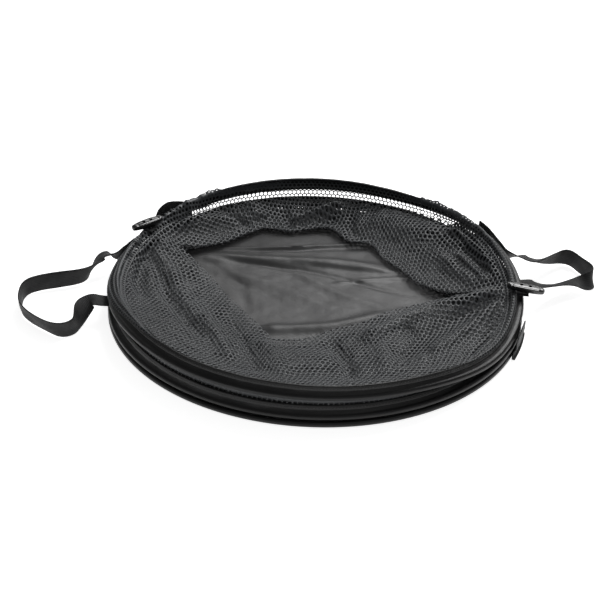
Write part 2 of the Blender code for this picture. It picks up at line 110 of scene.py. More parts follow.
# Soft folds in the upper wall: (line, half width, height). Heights below zero are valleys.
FOLDS = (
    (((-250, 106), (-233, 73), (-215, 30), (-195, -27), (-178, -65), (-158, -103), (-135, -137)), 10.0, -7.5),
    (((-232, 104), (-216, 73), (-199, 34), (-180, -20), (-162, -60), (-138, -100)), 19.0, 5.0),
    (((-242, 101), (-244, 53), (-238, -14), (-224, -52)), 11.0, -9.0),
    (((-258, 60), (-252, 0), (-238, -60)), 9.0, 3.0),
    (((-221, 146), (-187, 170), (-151, 187), (-112, 203)), 13.0, 9.0),
    (((-160, 232), (-128, 212), (-100, 197)), 5.5, -10.0),
    (((-105, 245), (-84, 212)), 15.0, 8.0),
    (((-55, 250), (-48, 224), (-40, 200)), 5.0, -11.0),
    (((-42, 208), (-20, 226), (6, 240), (38, 256)), 7.0, 12.0),
    (((-30, 202), (0, 215), (30, 232)), 6.0, -7.0),
    (((57, 268), (52, 237), (47, 200), (58, 176)), 5.5, -9.0),
    (((75, 222), (120, 190), (165, 140)), 27.0, 10.0),
    (((60, 258), (120, 239), (162, 212), (205, 160), (240, 80)), 8.0, -9.0),
    (((183, 164), (206, 138), (224, 108), (236, 78), (250, 34)), 4.5, 7.0),
    (((196, 104), (212, 72), (230, 36)), 4.5, 6.0),
    (((205, 118), (220, 86), (236, 46)), 5.0, -6.0),
    (((170, 112), (196, 66), (222, 32)), 9.0, 5.0),
    (((250, 8), (210, -8), (154, -26), (107, -62), (47, -124)), 14.0, 10.0),
    (((258, 0), (226, -22), (192, -48), (160, -82), (131, -123), (111, -176)), 10.0, -11.0),
    (((257, -14), (229, -46), (194, -89), (160, -134), (134, -178)), 10.0, 8.0),
    (((260, -26), (243, -66), (220, -114), (190, -158)), 9.0, -9.0),
    (((250, -60), (232, -104), (206, -146)), 7.0, 4.0),
    (((-235, 100), (-196, 62), (-170, 20)), 8.0, -3.0),
    (((-228, 108), (-190, 84), (-166, 62)), 7.0, 2.5),
    (((-90, -130), (-30, -150), (40, -165)), 24.0, 4.0),
    (((-120, -190), (-20, -215), (90, -205)), 16.0, -3.0),
    (((20, -100), (40, -160), (50, -220)), 9.0, -6.0),
    (((-150, -60), (-120, -130), (-100, -190)), 10.0, 5.0),
    (((-70, -112), (-48, -168), (-36, -226)), 12.0, 4.5),
    (((70, -82), (88, -142), (92, -206)), 12.0, 5.0),
    (((118, -62), (142, -112), (150, -176)), 7.0, -5.0),
    (((-110, -60), (-92, -112), (-76, -170), (-66, -216)), 6.0, -4.0),
)
# Creases of the floor cloth.
FLOOR_FOLDS = (
    (((-190, 114), (-126, 121), (-68, 118), (4, 118), (64, 113), (112, 102)), 12.0, 7.5),
    (((-150, 150), (-41, 158), (3, 168), (75, 178), (110, 176)), 3.0, 3.4),
    (((-150, 148), (-41, 151), (3, 159), (75, 168)), 4.0, -2.4),
    (((-182, 122), (-145, 100), (-113, 58), (-101, 23), (-92, -20)), 9.0, -1.6),
    (((-150, 98), (-97, 72), (-36, 40), (7, 5), (48, -12)), 12.0, 2.0),
    (((-165, 90), (-128, 60), (-77, 33), (-34, -6), (7, -24)), 9.0, -1.4),
    (((-78, -70), (-19, -61), (21, -54), (69, -34), (116, -8)), 12.0, 7.5),
    (((20, 60), (70, 75), (118, 84), (149, 82)), 4.0, 2.2),
    (((-180, 126), (-81, 105), (5, 89), (89, 52), (131, 39)), 5.0, -2.6),
    (((-10, 112), (60, 104), (120, 98)), 5.0, 1.6),
    (((-40, 100), (40, 30), (110, -6)), 9.0, 1.6),
)


# ------------------------------------------------------------------ geometry helpers
def every(values, bearing):
    """A smooth closed curve through values spaced evenly round the circle."""
    v = np.asarray(values, float)
    n = len(v)
    bearing = np.asarray(bearing, float)
    if n == 1:
        return np.full(bearing.shape, v[0])
    x = np.mod(bearing, 360.0) / 360.0 * n
    i = np.floor(x).astype(int)
    t = x - i
    a, b, c, d = (v[(i + k) % n] for k in (-1, 0, 1, 2))
    return b + 0.5 * t * (c - a + t * (2 * a - 5 * b + 4 * c - d + t * (3 * (b - c) + d - a)))


def on_hoop(wire_z, lean, bearing, a, b):
    tilt = np.radians(every(lean, bearing))
    return (
        HOOP_R - a * np.sin(tilt) + b * np.cos(tilt),
        every(wire_z, bearing) + a * np.cos(tilt) + b * np.sin(tilt),
    )


def at(radius, bearing, z):
    turn = np.radians(bearing)
    return np.stack(np.broadcast_arrays(radius * np.cos(turn), radius * np.sin(turn), z), axis=-1)


def through(points, steps, closed=False):
    """Catmull-Rom points through a route."""
    p = np.asarray(points, float)
    n = len(p)
    found = []
    for i in range(n if closed else n - 1):
        if closed:
            a, b, c, d = (p[(i + k) % n] for k in (-1, 0, 1, 2))
        else:
            a, b, c, d = p[max(i - 1, 0)], p[i], p[i + 1], p[min(i + 2, n - 1)]
        t = (np.arange(steps) / steps)[:, None]
        found.append(b + 0.5 * t * (c - a + t * (2 * a - 5 * b + 4 * c - d + t * (3 * (b - c) + d - a))))
    if not closed:
        found.append(p[-1:])
    return np.concatenate(found)


def smooth(x):
    x = np.clip(x, 0.0, 1.0)
    return x * x * (3 - 2 * x)


def waves(u, v, seed, size, octaves=3):
    """Smooth noise from sums of sines, about -1 to 1, in features of that size."""
    r = np.random.default_rng(seed)
    total = np.zeros(np.broadcast(u, v).shape)
    weight = 0.0
    for o in range(octaves):
        for _ in range(4):
            turn = r.uniform(0, 2 * math.pi)
            k = 2 * math.pi / size * (1.7**o) * r.uniform(0.7, 1.3)
            total = total + np.sin(k * (u * math.cos(turn) + v * math.sin(turn)) + r.uniform(0, 6.3)) * 0.6**o
        weight += 0.6**o
    return total / (weight * 2.2)


def mesh_object(name, points, faces, lay=None, material=None, sharp=None):
    """points in millimetres. faces is an array of quads, or a list of tuples."""
    mesh = bpy.data.meshes.new(name)
    if isinstance(faces, np.ndarray):
        mesh.vertices.add(len(points))
        mesh.vertices.foreach_set("co", (np.asarray(points, float) * MM).astype(np.float32).ravel())
        size = faces.shape[1]
        mesh.loops.add(faces.size)
        mesh.loops.foreach_set("vertex_index", faces.astype(np.int32).ravel())
        mesh.polygons.add(len(faces))
        mesh.polygons.foreach_set("loop_start", np.arange(0, faces.size, size, dtype=np.int32))
        mesh.update(calc_edges=True)
    else:
        mesh.from_pydata([tuple(p) for p in np.asarray(points, float) * MM], [], faces)
    mesh.validate()
    mesh.shade_smooth()
    if sharp is not None:
        mesh.set_sharp_from_angle(angle=math.radians(sharp))
    if lay is None:
        lay = points
    data = mesh.attributes.new("lay", "FLOAT_VECTOR", "POINT")
    data.data.foreach_set("vector", (np.asarray(lay, float) * MM).astype(np.float32).ravel())
    obj = bpy.data.objects.new(name, mesh)
    bpy.context.scene.collection.objects.link(obj)
    if material is not None:
        mesh.materials.append(material)
    return obj


def grid_faces(rows, columns, wrap_rows, wrap_columns):
    i = np.arange(rows if wrap_rows else rows - 1)
    j = np.arange(columns if wrap_columns else columns - 1)
    i, j = np.meshgrid(i, j, indexing="ij")
    i2, j2 = (i + 1) % rows, (j + 1) % columns
    return np.stack([i * columns + j, i * columns + j2, i2 * columns + j2, i2 * columns + j], axis=-1).reshape(-1, 4)


def tube_like(name, sections, wrap, material, lay=None, sharp=None):
    """sections: (rows, points, 3), each row a closed loop."""
    rows, columns, _ = sections.shape
    faces = grid_faces(rows, columns, wrap, True)
    points = sections.reshape(-1, 3)
    lay = None if lay is None else lay.reshape(-1, 3)
    if not wrap:
        caps = []
        for first, turn in ((0, False), ((rows - 1) * columns, True)):
            middle = points[first:first + columns].mean(0)
            points = np.concatenate([points, middle[None]])
            if lay is not None:
                lay = np.concatenate([lay, lay[first:first + 1]])
            k = np.arange(columns)
            one, two = first + k, first + (k + 1) % columns
            hub = np.full(columns, len(points) - 1)
            caps.append(np.stack([one, two, hub] if turn else [two, one, hub], axis=-1))
        whole = [tuple(f) for f in faces.tolist()] + [tuple(f) for c in caps for f in c.tolist()]
        obj = mesh_object(name, points, whole, lay, material, sharp)
    else:
        obj = mesh_object(name, points, faces, lay, material, sharp)
    face_out(obj)
    return obj


def face_out(obj):
    import bmesh
    bm = bmesh.new()
    bm.from_mesh(obj.data)
    bmesh.ops.recalc_face_normals(bm, faces=bm.faces[:])
    bm.to_mesh(obj.data)
    bm.free()


# ------------------------------------------------------------------ materials
def nodes_of(name):
    made = bpy.data.materials.new(name)
    made.use_nodes = True
    tree = made.node_tree
    shader = tree.nodes["Principled BSDF"]
    return made, tree, shader


def link(tree, a, b):
    tree.links.new(a, b)


def lay_vector(tree, attribute=True, scale=(1, 1, 1)):
    if attribute:
        source = tree.nodes.new("ShaderNodeAttribute")
        source.attribute_name = "lay"
        out = source.outputs["Vector"]
    else:
        source = tree.nodes.new("ShaderNodeTexCoord")
        out = source.outputs["Object"]
    mapping = tree.nodes.new("ShaderNodeMapping")
    mapping.inputs["Scale"].default_value = scale
    link(tree, out, mapping.inputs["Vector"])
    return mapping.outputs["Vector"]


def noise(tree, vector, scale, detail=4.0, rough=0.55):
    n = tree.nodes.new("ShaderNodeTexNoise")
    n.inputs["Scale"].default_value = scale
    n.inputs["Detail"].default_value = detail
    n.inputs["Roughness"].default_value = rough
    link(tree, vector, n.inputs["Vector"])
    return n.outputs["Fac"]


def wave(tree, vector, scale, direction, distortion=0.0):
    n = tree.nodes.new("ShaderNodeTexWave")
    n.wave_type = "BANDS"
    n.bands_direction = direction
    n.wave_profile = "SIN"
    n.inputs["Scale"].default_value = scale
    n.inputs["Distortion"].default_value = distortion
    n.inputs["Detail"].default_value = 1.0
    link(tree, vector, n.inputs["Vector"])
    return n.outputs["Fac"]


def ramp(tree, value, low, high, start=0.3, end=0.7):
    n = tree.nodes.new("ShaderNodeValToRGB")
    n.color_ramp.elements[0].position = start
    n.color_ramp.elements[0].color = (*low, 1)
    n.color_ramp.elements[1].position = end
    n.color_ramp.elements[1].color = (*high, 1)
    link(tree, value, n.inputs["Fac"])
    return n.outputs["Color"]


def span(tree, value, low, high, start=0.0, end=1.0):
    n = tree.nodes.new("ShaderNodeMapRange")
    n.inputs["From Min"].default_value = start
    n.inputs["From Max"].default_value = end
    n.inputs["To Min"].default_value = low
    n.inputs["To Max"].default_value = high
    link(tree, value, n.inputs["Value"])
    return n.outputs["Result"]


def maths(tree, operation, a, b):
    n = tree.nodes.new("ShaderNodeMath")
    n.operation = operation
    for k, x in enumerate((a, b)):
        if isinstance(x, (int, float)):
            n.inputs[k].default_value = x
        else:
            link(tree, x, n.inputs[k])
    return n.outputs[0]


def bump(tree, height, distance, strength, under=None):
    n = tree.nodes.new("ShaderNodeBump")
    n.inputs["Strength"].default_value = strength
    n.inputs["Distance"].default_value = distance
    link(tree, height, n.inputs["Height"])
    if under is not None:
        link(tree, under, n.inputs["Normal"])
    return n.outputs["Normal"]


def cloth(name, low, high, rough, weave, weave_depth, crease=0.0, sheen=0.0, attribute=True, coat=0.0, patch=25.0, specular=0.5):
    """Woven cloth. weave is the thread's pitch in metres along both directions."""
    made, tree, shader = nodes_of(name)
    v = lay_vector(tree, attribute)
    broad = noise(tree, v, patch, 5.0, 0.6)
    fine = noise(tree, v, 900.0, 3.0, 0.6)
    mixed = maths(tree, "ADD", maths(tree, "MULTIPLY", broad, 0.7), maths(tree, "MULTIPLY", fine, 0.3))
    link(tree, ramp(tree, mixed, low, high, 0.34, 0.66), shader.inputs["Base Color"])
    link(tree, span(tree, mixed, rough[0], rough[1], 0.3, 0.7), shader.inputs["Roughness"])
    # Blender's wave texture has a period of 2 pi / (20 * scale).
    scale = 2 * math.pi / (20 * weave)
    warp = wave(tree, v, scale, "X", 0.3)
    weft = wave(tree, v, scale, "Y", 0.3)
    threads = maths(tree, "MULTIPLY", warp, weft)
    normal = bump(tree, threads, weave_depth, 0.8)
    if crease:
        normal = bump(tree, noise(tree, v, 70.0, 4.0, 0.5), crease, 0.6, normal)
    link(tree, normal, shader.inputs["Normal"])
    shader.inputs["Sheen Weight"].default_value = sheen
    shader.inputs["Sheen Roughness"].default_value = 0.4
    shader.inputs["Coat Weight"].default_value = coat
    shader.inputs["Coat Roughness"].default_value = 0.35
    shader.inputs["Specular IOR Level"].default_value = specular
    return made


def webbing_material():
    made, tree, shader = nodes_of("woven_webbing")
    v = lay_vector(tree)
    broad = noise(tree, v, 60.0, 4.0)
    rib = wave(tree, v, 2 * math.pi / (20 * 0.0017), "X", 0.2)
    rows = wave(tree, v, 2 * math.pi / (20 * 0.0026), "Y", 0.0)
    weave = maths(tree, "MULTIPLY", rib, maths(tree, "ADD", 0.4, maths(tree, "MULTIPLY", rows, 0.6)))
    tone = maths(tree, "ADD", maths(tree, "MULTIPLY", weave, 0.45), maths(tree, "MULTIPLY", broad, 0.55))
    link(tree, ramp(tree, tone, (0.004, 0.0043, 0.0046), (0.017, 0.0175, 0.0185), 0.2, 0.8), shader.inputs["Base Color"])
    link(tree, span(tree, broad, 0.5, 0.72, 0.3, 0.7), shader.inputs["Roughness"])
    link(tree, bump(tree, weave, 0.0004, 0.9), shader.inputs["Normal"])
    shader.inputs["Sheen Weight"].default_value = 0.03
    shader.inputs["Specular IOR Level"].default_value = 0.3
    return made


def net_material():
    """Knitted polyester yarn: dark, with a soft shine, and painted shade in its colour where other layers close over
    it.
    """
    made, tree, shader = nodes_of("net_yarn")
    v = lay_vector(tree)
    broad = noise(tree, v, 14.0, 3.0)
    fine = noise(tree, v, 1400.0, 2.0, 0.7)
    mixed = maths(tree, "ADD", maths(tree, "MULTIPLY", broad, 0.6), maths(tree, "MULTIPLY", fine, 0.4))
    colour = ramp(tree, mixed, (0.036, 0.039, 0.042), (0.078, 0.083, 0.089), 0.3, 0.7)
    # Painted shade: ambient occlusion darkens the yarn's base colour where other net layers lie close to it.
    closed = tree.nodes.new("ShaderNodeAmbientOcclusion")
    closed.samples = 8
    closed.inputs["Distance"].default_value = 0.014
    depth = span(tree, closed.outputs["AO"], 0.38, 0.92, 0.08, 1.0)
    shaded = tree.nodes.new("ShaderNodeVectorMath")
    shaded.operation = "SCALE"
    link(tree, colour, shaded.inputs[0])
    link(tree, depth, shaded.inputs["Scale"])
    link(tree, shaded.outputs[0], shader.inputs["Base Color"])
    link(tree, span(tree, fine, 0.34, 0.52, 0.3, 0.7), shader.inputs["Roughness"])
    link(tree, bump(tree, fine, 0.00025, 0.6), shader.inputs["Normal"])
    shader.inputs["Specular IOR Level"].default_value = 0.5
    shader.inputs["Sheen Weight"].default_value = 0.1
    shader.inputs["Sheen Roughness"].default_value = 0.35
    return made


def moulding_material():
    made, tree, shader = nodes_of("toggle_moulding")
    v = lay_vector(tree)
    fine = noise(tree, v, 400.0, 4.0)
    broad = noise(tree, v, 90.0, 3.0)
    link(tree, ramp(tree, broad, (0.004, 0.004, 0.004), (0.009, 0.009, 0.0092)), shader.inputs["Base Color"])
    link(tree, span(tree, broad, 0.12, 0.2, 0.3, 0.7), shader.inputs["Roughness"])
    shader.inputs["Coat Weight"].default_value = 0.35
    shader.inputs["Coat Roughness"].default_value = 0.08
    link(tree, bump(tree, fine, 0.00006, 0.5), shader.inputs["Normal"])
    return made


def metal_material(name, low, high, rough):
    made, tree, shader = nodes_of(name)
    v = lay_vector(tree, False)
    n = noise(tree, v, 300.0, 4.0)
    link(tree, ramp(tree, n, low, high), shader.inputs["Base Color"])
    link(tree, span(tree, n, rough, rough + 0.15, 0.3, 0.7), shader.inputs["Roughness"])
    link(tree, bump(tree, n, 0.00003, 0.4), shader.inputs["Normal"])
    shader.inputs["Metallic"].default_value = 1.0
    return made


def cord_material():
    made, tree, shader = nodes_of("elastic_cord")
    v = lay_vector(tree, False)
    n = noise(tree, v, 500.0, 3.0)
    w = wave(tree, v, 2 * math.pi / (20 * 0.0009), "DIAGONAL", 0.4)
    link(tree, ramp(tree, n, (0.006, 0.006, 0.006), (0.02, 0.02, 0.021)), shader.inputs["Base Color"])
    link(tree, span(tree, n, 0.6, 0.8), shader.inputs["Roughness"])
    link(tree, bump(tree, w, 0.0002, 0.7), shader.inputs["Normal"])
    return made


FLOOR_CLOTH = cloth("coated_floor_cloth", (0.026, 0.026, 0.0264), (0.037, 0.037, 0.0375), (0.40, 0.50), 0.0007, 0.00005, 0.0009, 0.0, patch=16.0)
CASING_CLOTH = cloth("casing_cloth", (0.003, 0.003, 0.0031), (0.006, 0.006, 0.0061), (0.30, 0.42), 0.0008, 0.00005, 0.0006, 0.0, specular=0.30)
TAPE_CLOTH = cloth("binding_tape", (0.004, 0.004, 0.004), (0.009, 0.009, 0.009), (0.32, 0.44), 0.0010, 0.00008, 0.0002, 0.02, specular=0.36)
THREAD = cloth("sewing_thread", (0.008, 0.008, 0.008), (0.022, 0.022, 0.022), (0.45, 0.6), 0.0004, 0.00005)
WEBBING = webbing_material()
YARN = net_material()
MOULDING = moulding_material()
CORD = cord_material()
WIRE = metal_material("drawn_wire", (0.4, 0.4, 0.42), (0.55, 0.55, 0.57), 0.3)
SLEEVE = metal_material("crimped_sleeve", (0.5, 0.5, 0.52), (0.62, 0.62, 0.64), 0.28)


# ------------------------------------------------------------------ hoop casings
def rounded(points, steps):
    """A smooth closed outline through the points of a profile."""
    return through(points, steps, closed=True)


def casing_outline():
    outside = [(13.2, 1.15), (10.5, 1.15), (7.6, 1.25), (5.4, 1.75)]
    for k in range(9):
        t = math.radians(34 + (326 - 34) * k / 8)
        outside.append((BULB_R * math.cos(t), BULB_R * math.sin(t)))
    outside += [(5.4, -1.75), (7.6, -1.25), (10.5, -1.15), (13.2, -1.15)]
    return rounded(outside, 2)


def tape_outline():
    return rounded([
        (8.9, 1.35), (9.3, 1.85), (12.0, 2.0), (14.2, 1.9), (15.0, 1.2), (15.2, 0.0), (15.0, -1.2), (14.2, -1.9),
        (12.0, -2.0), (9.3, -1.85), (8.9, -1.35), (12.4, -1.3), (13.4, -0.6), (13.4, 0.6), (12.4, 1.3),
    ], 2)


def hoop_piece(name, outline, wire_z, lean, material, body, node, seed, pucker, stations=720):
    bearing = np.arange(stations) * 360.0 / stations
    arc = np.radians(bearing) * HOOP_R
    a = outline[None, :, 0] * np.ones((stations, 1))
    b = outline[None, :, 1] * np.ones((stations, 1))
    tail = smooth((a - 3.0) / 6.0)
    # Slack in the tail and small pinches where it was sewn, the same on both faces so that it keeps its thickness.
    ripple = waves(arc[:, None] + 0 * a, 0 * a, seed, 90.0, 3) * pucker
    pinch = np.sin(arc[:, None] / 3.9 * math.pi) * 0.07 * pucker + waves(arc[:, None], 0 * a, seed + 9, 17.0, 2) * 0.22 * pucker
    b = b + (ripple * 0.8 * tail + pinch * smooth((a - 6) / 3)) * 0.8
    r, z = on_hoop(wire_z, lean, bearing[:, None], a, b)
    points = at(r, bearing[:, None], z)
    across = np.concatenate([[0], np.cumsum(np.linalg.norm(np.diff(outline, axis=0), axis=1))])
    lay = np.stack(np.broadcast_arrays(arc[:, None], across[None, :], 0.0), axis=-1)
    obj = tube_like(name, points, True, material, lay)
    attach(obj, body)
    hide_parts(node)
    return obj


def stitch_row(name, wire_z, lean, body, a, b, seed, pucker, length=3.1, step=4.2):
    """A run of stitches through the binding tape, on both faces."""
    count = int(2 * math.pi * HOOP_R / step)
    ring = 6
    shape_u = np.array([-0.5, -0.3, 0.0, 0.3, 0.5])
    shape_r = np.array([0.12, 0.34, 0.42, 0.34, 0.12])
    points, faces = [], []
    base = 0
    for side in (1.0, -1.0):
        middle = (np.arange(count) + 0.5 * (side < 0)) * 360.0 / count
        for s, u in enumerate(shape_u):
            bearing = middle + u * length / HOOP_R * 180 / math.pi
            arc = np.radians(bearing) * HOOP_R
            ripple = waves(arc, 0 * arc, seed, 90.0, 3) * pucker
            extra = waves(arc, 0 * arc, seed + 9, 17.0, 2) * 0.22 * pucker
            shift = (ripple * 0.8 + extra) * 0.8
            for k in range(ring):
                t = 2 * math.pi * k / ring
                r, z = on_hoop(wire_z, lean, bearing, a + shape_r[s] * math.cos(t), side * b + shift + shape_r[s] * 0.8 * math.sin(t))
                points.append(at(r, bearing, z))
        block = len(shape_u) * ring
        local = []
        for s in range(len(shape_u) - 1):
            for k in range(ring):
                local.append((s * ring + k, s * ring + (k + 1) % ring, (s + 1) * ring + (k + 1) % ring, (s + 1) * ring + k))
        local = np.array(local)
        stack = local[None] * count + np.arange(count)[:, None, None] + base
        faces.append(stack.reshape(-1, 4))
        base += block * count
    points = np.concatenate(points)
    obj = mesh_object(name, points, np.concatenate(faces), None, THREAD)
    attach(obj, body)
    return obj


HOOPS = (
    ("base", "base_hoop", "base_seam_tape", BASE_WIRE_Z, BASE_LEAN, "base", 11, 0.15),
    ("mid", "mid_hoop", "mid_seam_tape", MID_WIRE_Z, MID_LEAN, "mid_hoop", 23, 0.7),
    ("top", "top_hoop", "rim_binding", TOP_WIRE_Z, TOP_LEAN, "top_hoop", 37, 0.9),
)
for label, stem, tape, wire_z, lean, body, seed, pucker in HOOPS:
    hoop_piece(f"{label}_casing", casing_outline(), wire_z, lean, CASING_CLOTH, body, f"{stem}_casing", seed, pucker)
    hoop_piece(f"{label}_binding", tape_outline(), wire_z, lean, TAPE_CLOTH, body, tape, seed, pucker)
    stitch_row(f"{label}_stitching", wire_z, lean, body, 11.4, 2.05, seed, pucker)
    for part, material, slot in (("wire", WIRE, "spring_wire"), ("ferrule", SLEEVE, "ferrule_metal")):
        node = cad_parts[f"{stem}_{part}"]
        node.data.materials.clear()
        node.data.materials.append(material)


# ------------------------------------------------------------------ net surfaces
eye_line = through(EYE, 40, closed=True)
eye_bearing = np.degrees(np.arctan2(eye_line[:, 1], eye_line[:, 0])) % 360
order = np.argsort(eye_bearing)
EYE_B = eye_bearing[order]
EYE_RHO = np.hypot(eye_line[order, 0], eye_line[order, 1])
EYE_Z = eye_line[order, 2]
eye_tree = KDTree(len(eye_line))
for i, p in enumerate(eye_line):
    eye_tree.insert((p[0], p[1], 0.0), i)
eye_tree.balance()


def eye_at(bearing):
    b = np.mod(bearing, 360.0)
    return np.interp(b, EYE_B, EYE_RHO, period=360.0), np.interp(b, EYE_B, EYE_Z, period=360.0)


def polar(x, y):
    return np.hypot(x, y), np.degrees(np.arctan2(y, x)) % 360.0


def near_line(x, y, line):
    """Distance to a line of points, and how far along it, from 0 to 1."""
    line = np.asarray(line, float)
    best = np.full(x.shape, 1e9)
    along = np.zeros(x.shape)
    lengths = np.linalg.norm(np.diff(line, axis=0), axis=1)
    before = np.concatenate([[0], np.cumsum(lengths)])
    for k in range(len(line) - 1):
        a, d = line[k], line[k + 1] - line[k]
        t = np.clip(((x - a[0]) * d[0] + (y - a[1]) * d[1]) / (d @ d), 0, 1)
        gap = np.hypot(x - a[0] - t * d[0], y - a[1] - t * d[1])
        closer = gap < best
        best = np.where(closer, gap, best)
        along = np.where(closer, (before[k] + t * lengths[k]) / before[-1], along)
    return best, along


def folded(x, y, folds):
    total = np.zeros(x.shape)
    for line, half, height in folds:
        gap, along = near_line(x, y, through(line, 4))
        ends = smooth(along / 0.12) * smooth((1 - along) / 0.2)
        total += height * np.exp(-((gap / half) ** 2)) * (0.25 + 0.75 * ends)
    return total


# Where the net's edge starts on the way over the rim: 0 on the outside of the bulb, 1 just inside the rim.
LAP_START = (0.60, 0.60, 0.9, 1.0, 0.92, 0.22, 0.10, 0.56, 0.962, 1.0, 0.962, 0.62)


def lap_start(bearing):
    return np.clip(every(LAP_START, bearing), 0.0, 1.0)


def lapped(bearing):
    """How far the net's edge is lapped over the rim, up to 1."""
    return np.clip((1 - lap_start(bearing)) / 0.4, 0.0, 1.0)


def bend_at(bearing):
    """Where the upper wall leaves the upright band under the rim: radius and height."""
    r, _ = on_hoop(TOP_WIRE_Z, TOP_LEAN, bearing, 13.6, -2.4)
    return np.minimum(r - 0.8, 269.4) - 8.0 * lapped(bearing), every(BEND_Z, bearing)


def mid_seam(bearing, drop):
    r, z = on_hoop(MID_WIRE_Z, MID_LEAN, bearing, 13.4, -2.6)
    return np.minimum(r, 269.0), z - drop


def under_height(x, y):
    """The leaf of the upper wall that runs back out to the mid hoop."""
    rho, bearing = polar(x, y)
    eye, eye_z = eye_at(bearing)
    outer, outer_z = mid_seam(bearing, 0.6)
    s = np.clip((rho - eye) / (outer - eye), 0, 1)
    low = eye_z - 2 * ROLL - 0.1
    low = low + (7.2 - low) * smooth(s / 0.25) * (1 - smooth((s - 0.3) / 0.7))
    return low + (outer_z - low) * smooth(s) ** 1.6


def upper_height(x, y):
    rho, bearing = polar(x, y)
    eye, eye_z = eye_at(bearing)
    outer, outer_z = bend_at(bearing)
    s = np.clip((rho - eye) / (outer - eye), 0, 1)
    g = np.interp(s, (0, 0.28, 0.62, 1.0), (0, 0.2, 0.52, 1.0))
    z = eye_z + (outer_z - eye_z) * g
    inner = smooth((rho - eye) / 16.0)
    rim = smooth((outer - rho) / 12.0)
    z = z + folded(x, y, FOLDS) * rim * (0.35 + 0.65 * inner)
    z = z + (waves(x, y, 5, 64.0, 3) * 1.5 + waves(x, y, 8, 24.0, 2) * 0.45) * rim * inner
    # It lies on the leaf below, and doesn't cut into it.
    floor = under_height(x, y) + 1.6 + 1.2 * inner
    gap = z - floor
    return floor + 0.5 * (gap + np.sqrt(gap * gap + 9.0)) * 1.0 - 0.0 * gap


def nearest_eye(x, y):
    found = np.empty(x.shape, int)
    for k, (px, py) in enumerate(zip(x.ravel().tolist(), y.ravel().tolist())):
        found.ravel()[k] = eye_tree.find((px, py, 0.0))[1]
    return found


def upper_map(p):
    """A point of the flat lattice laid on the upper leaf, rolling under past its folded edge."""
    x, y = p[:, 0].copy(), p[:, 1].copy()
    rho, bearing = polar(x, y)
    outer, _ = bend_at(bearing)
    scale = np.minimum(1.0, outer / np.maximum(rho, 1e-6))
    x, y = x * scale, y * scale
    rho = rho * scale
    eye, _ = eye_at(bearing)
    z = np.empty(len(x))
    close = rho < eye + 1.0
    far = ~close
    z[far] = upper_height(x[far], y[far])
    if close.any():
        cx, cy = x[close], y[close]
        k = nearest_eye(cx, cy)
        q = eye_line[k]
        inside = rho[close] < eye[close]
        d = np.hypot(cx - q[:, 0], cy - q[:, 1]) * np.where(inside, 1.0, -1.0)
        away = np.stack([cx - q[:, 0], cy - q[:, 1]], axis=1) / np.maximum(np.abs(d), 1e-6)[:, None]
        angle = np.clip(d / ROLL, 0, math.pi)
        edge_z = upper_height(q[:, 0], q[:, 1])
        bent_x = q[:, 0] + away[:, 0] * ROLL * np.sin(angle)
        bent_y = q[:, 1] + away[:, 1] * ROLL * np.sin(angle)
        bent_z = edge_z - ROLL * (1 - np.cos(angle))
        cz = upper_height(cx, cy)
        x[close] = np.where(inside, bent_x, cx)
        y[close] = np.where(inside, bent_y, cy)
        z[close] = np.where(inside, bent_z, cz)
    return np.stack([x, y, z], axis=1)


STRETCH = 1.35  # the net's cells are drawn longer from front to back, towards its gathered edge


def warp(p, amount):
    """Uneven stretch of the knitted net, so that its rows wander as they do in slack cloth."""
    x, y = p[:, 0], p[:, 1] * STRETCH
    return np.stack([
        x + waves(x, y, 71, 150.0, 2) * amount,
        y + waves(x, y, 83, 150.0, 2) * amount,
    ], axis=1)


def hex_cells(centres, pitch, hole, corners_only=False, period=None):
    """Corner points shared by neighbouring cells, hole points of their own, and the quads between them."""
    count = len(centres)
    side = pitch / math.sqrt(3)
    turns = [30 + 60 * k for k in range(6)]
    outer = []
    for k, t in enumerate(turns):
        a = np.array([math.cos(math.radians(t)), math.sin(math.radians(t))]) * side
        outer.append(a)
        if not corners_only:
            n = np.array([math.cos(math.radians(t + 60)), math.sin(math.radians(t + 60))]) * side
            outer.append((a + n) / 2)
    outer = np.array(outer)
    n = len(outer)
    ring = np.array([(math.cos(math.radians(30 + 360 * k / n)), math.sin(math.radians(30 + 360 * k / n))) for k in range(n)])
    inner = ring[None] * (np.broadcast_to(np.asarray(hole, float), (count,)) * pitch)[:, None, None]
    outer_points = (centres[:, None, :] + outer[None]).reshape(-1, 2)
    key = outer_points.copy()
    if period is not None:
        key[:, 0] = np.mod(key[:, 0] + 1e-4, period)
    key = np.round(key / 0.02).astype(np.int64)
    _, first, index = np.unique(key, axis=0, return_index=True, return_inverse=True)
    index = index.reshape(count, n)
    shared = outer_points[first]
    inner_points = (centres[:, None, :] + inner).reshape(-1, 2)
    inner_index = (len(shared) + np.arange(count * n)).reshape(count, n)
    def between(a, b):
        return np.stack([a, np.roll(a, -1, axis=1), np.roll(b, -1, axis=1), b], axis=-1).reshape(-1, 4)

    if corners_only:
        return (
            np.concatenate([shared, inner_points]), between(index, inner_index),
            np.concatenate([np.ones(len(shared)), np.zeros(len(inner_points))]),
        )
    # A ring between the two rounds the yarn over.
    shoulder_points = (centres[:, None, :] + outer[None] * 0.36 + inner * 0.64).reshape(-1, 2)
    shoulder_index = inner_index + count * n
    return (
        np.concatenate([shared, inner_points, shoulder_points]),
        np.concatenate([between(index, shoulder_index), between(shoulder_index, inner_index)]),
        np.concatenate([np.ones(len(shared)), np.full(len(inner_points), -0.25), np.full(len(shoulder_points), 0.74)]),
    )


def hex_centres(half, pitch):
    rows = int(half / (pitch * math.sqrt(3) / 2)) + 2
    columns = int(half / pitch) + 2
    found = []
    for j in range(-rows, rows + 1):
        shift = 0.5 * pitch if j % 2 else 0.0
        for i in range(-columns, columns + 1):
            found.append((i * pitch + shift, j * pitch * math.sqrt(3) / 2))
    return np.array(found)


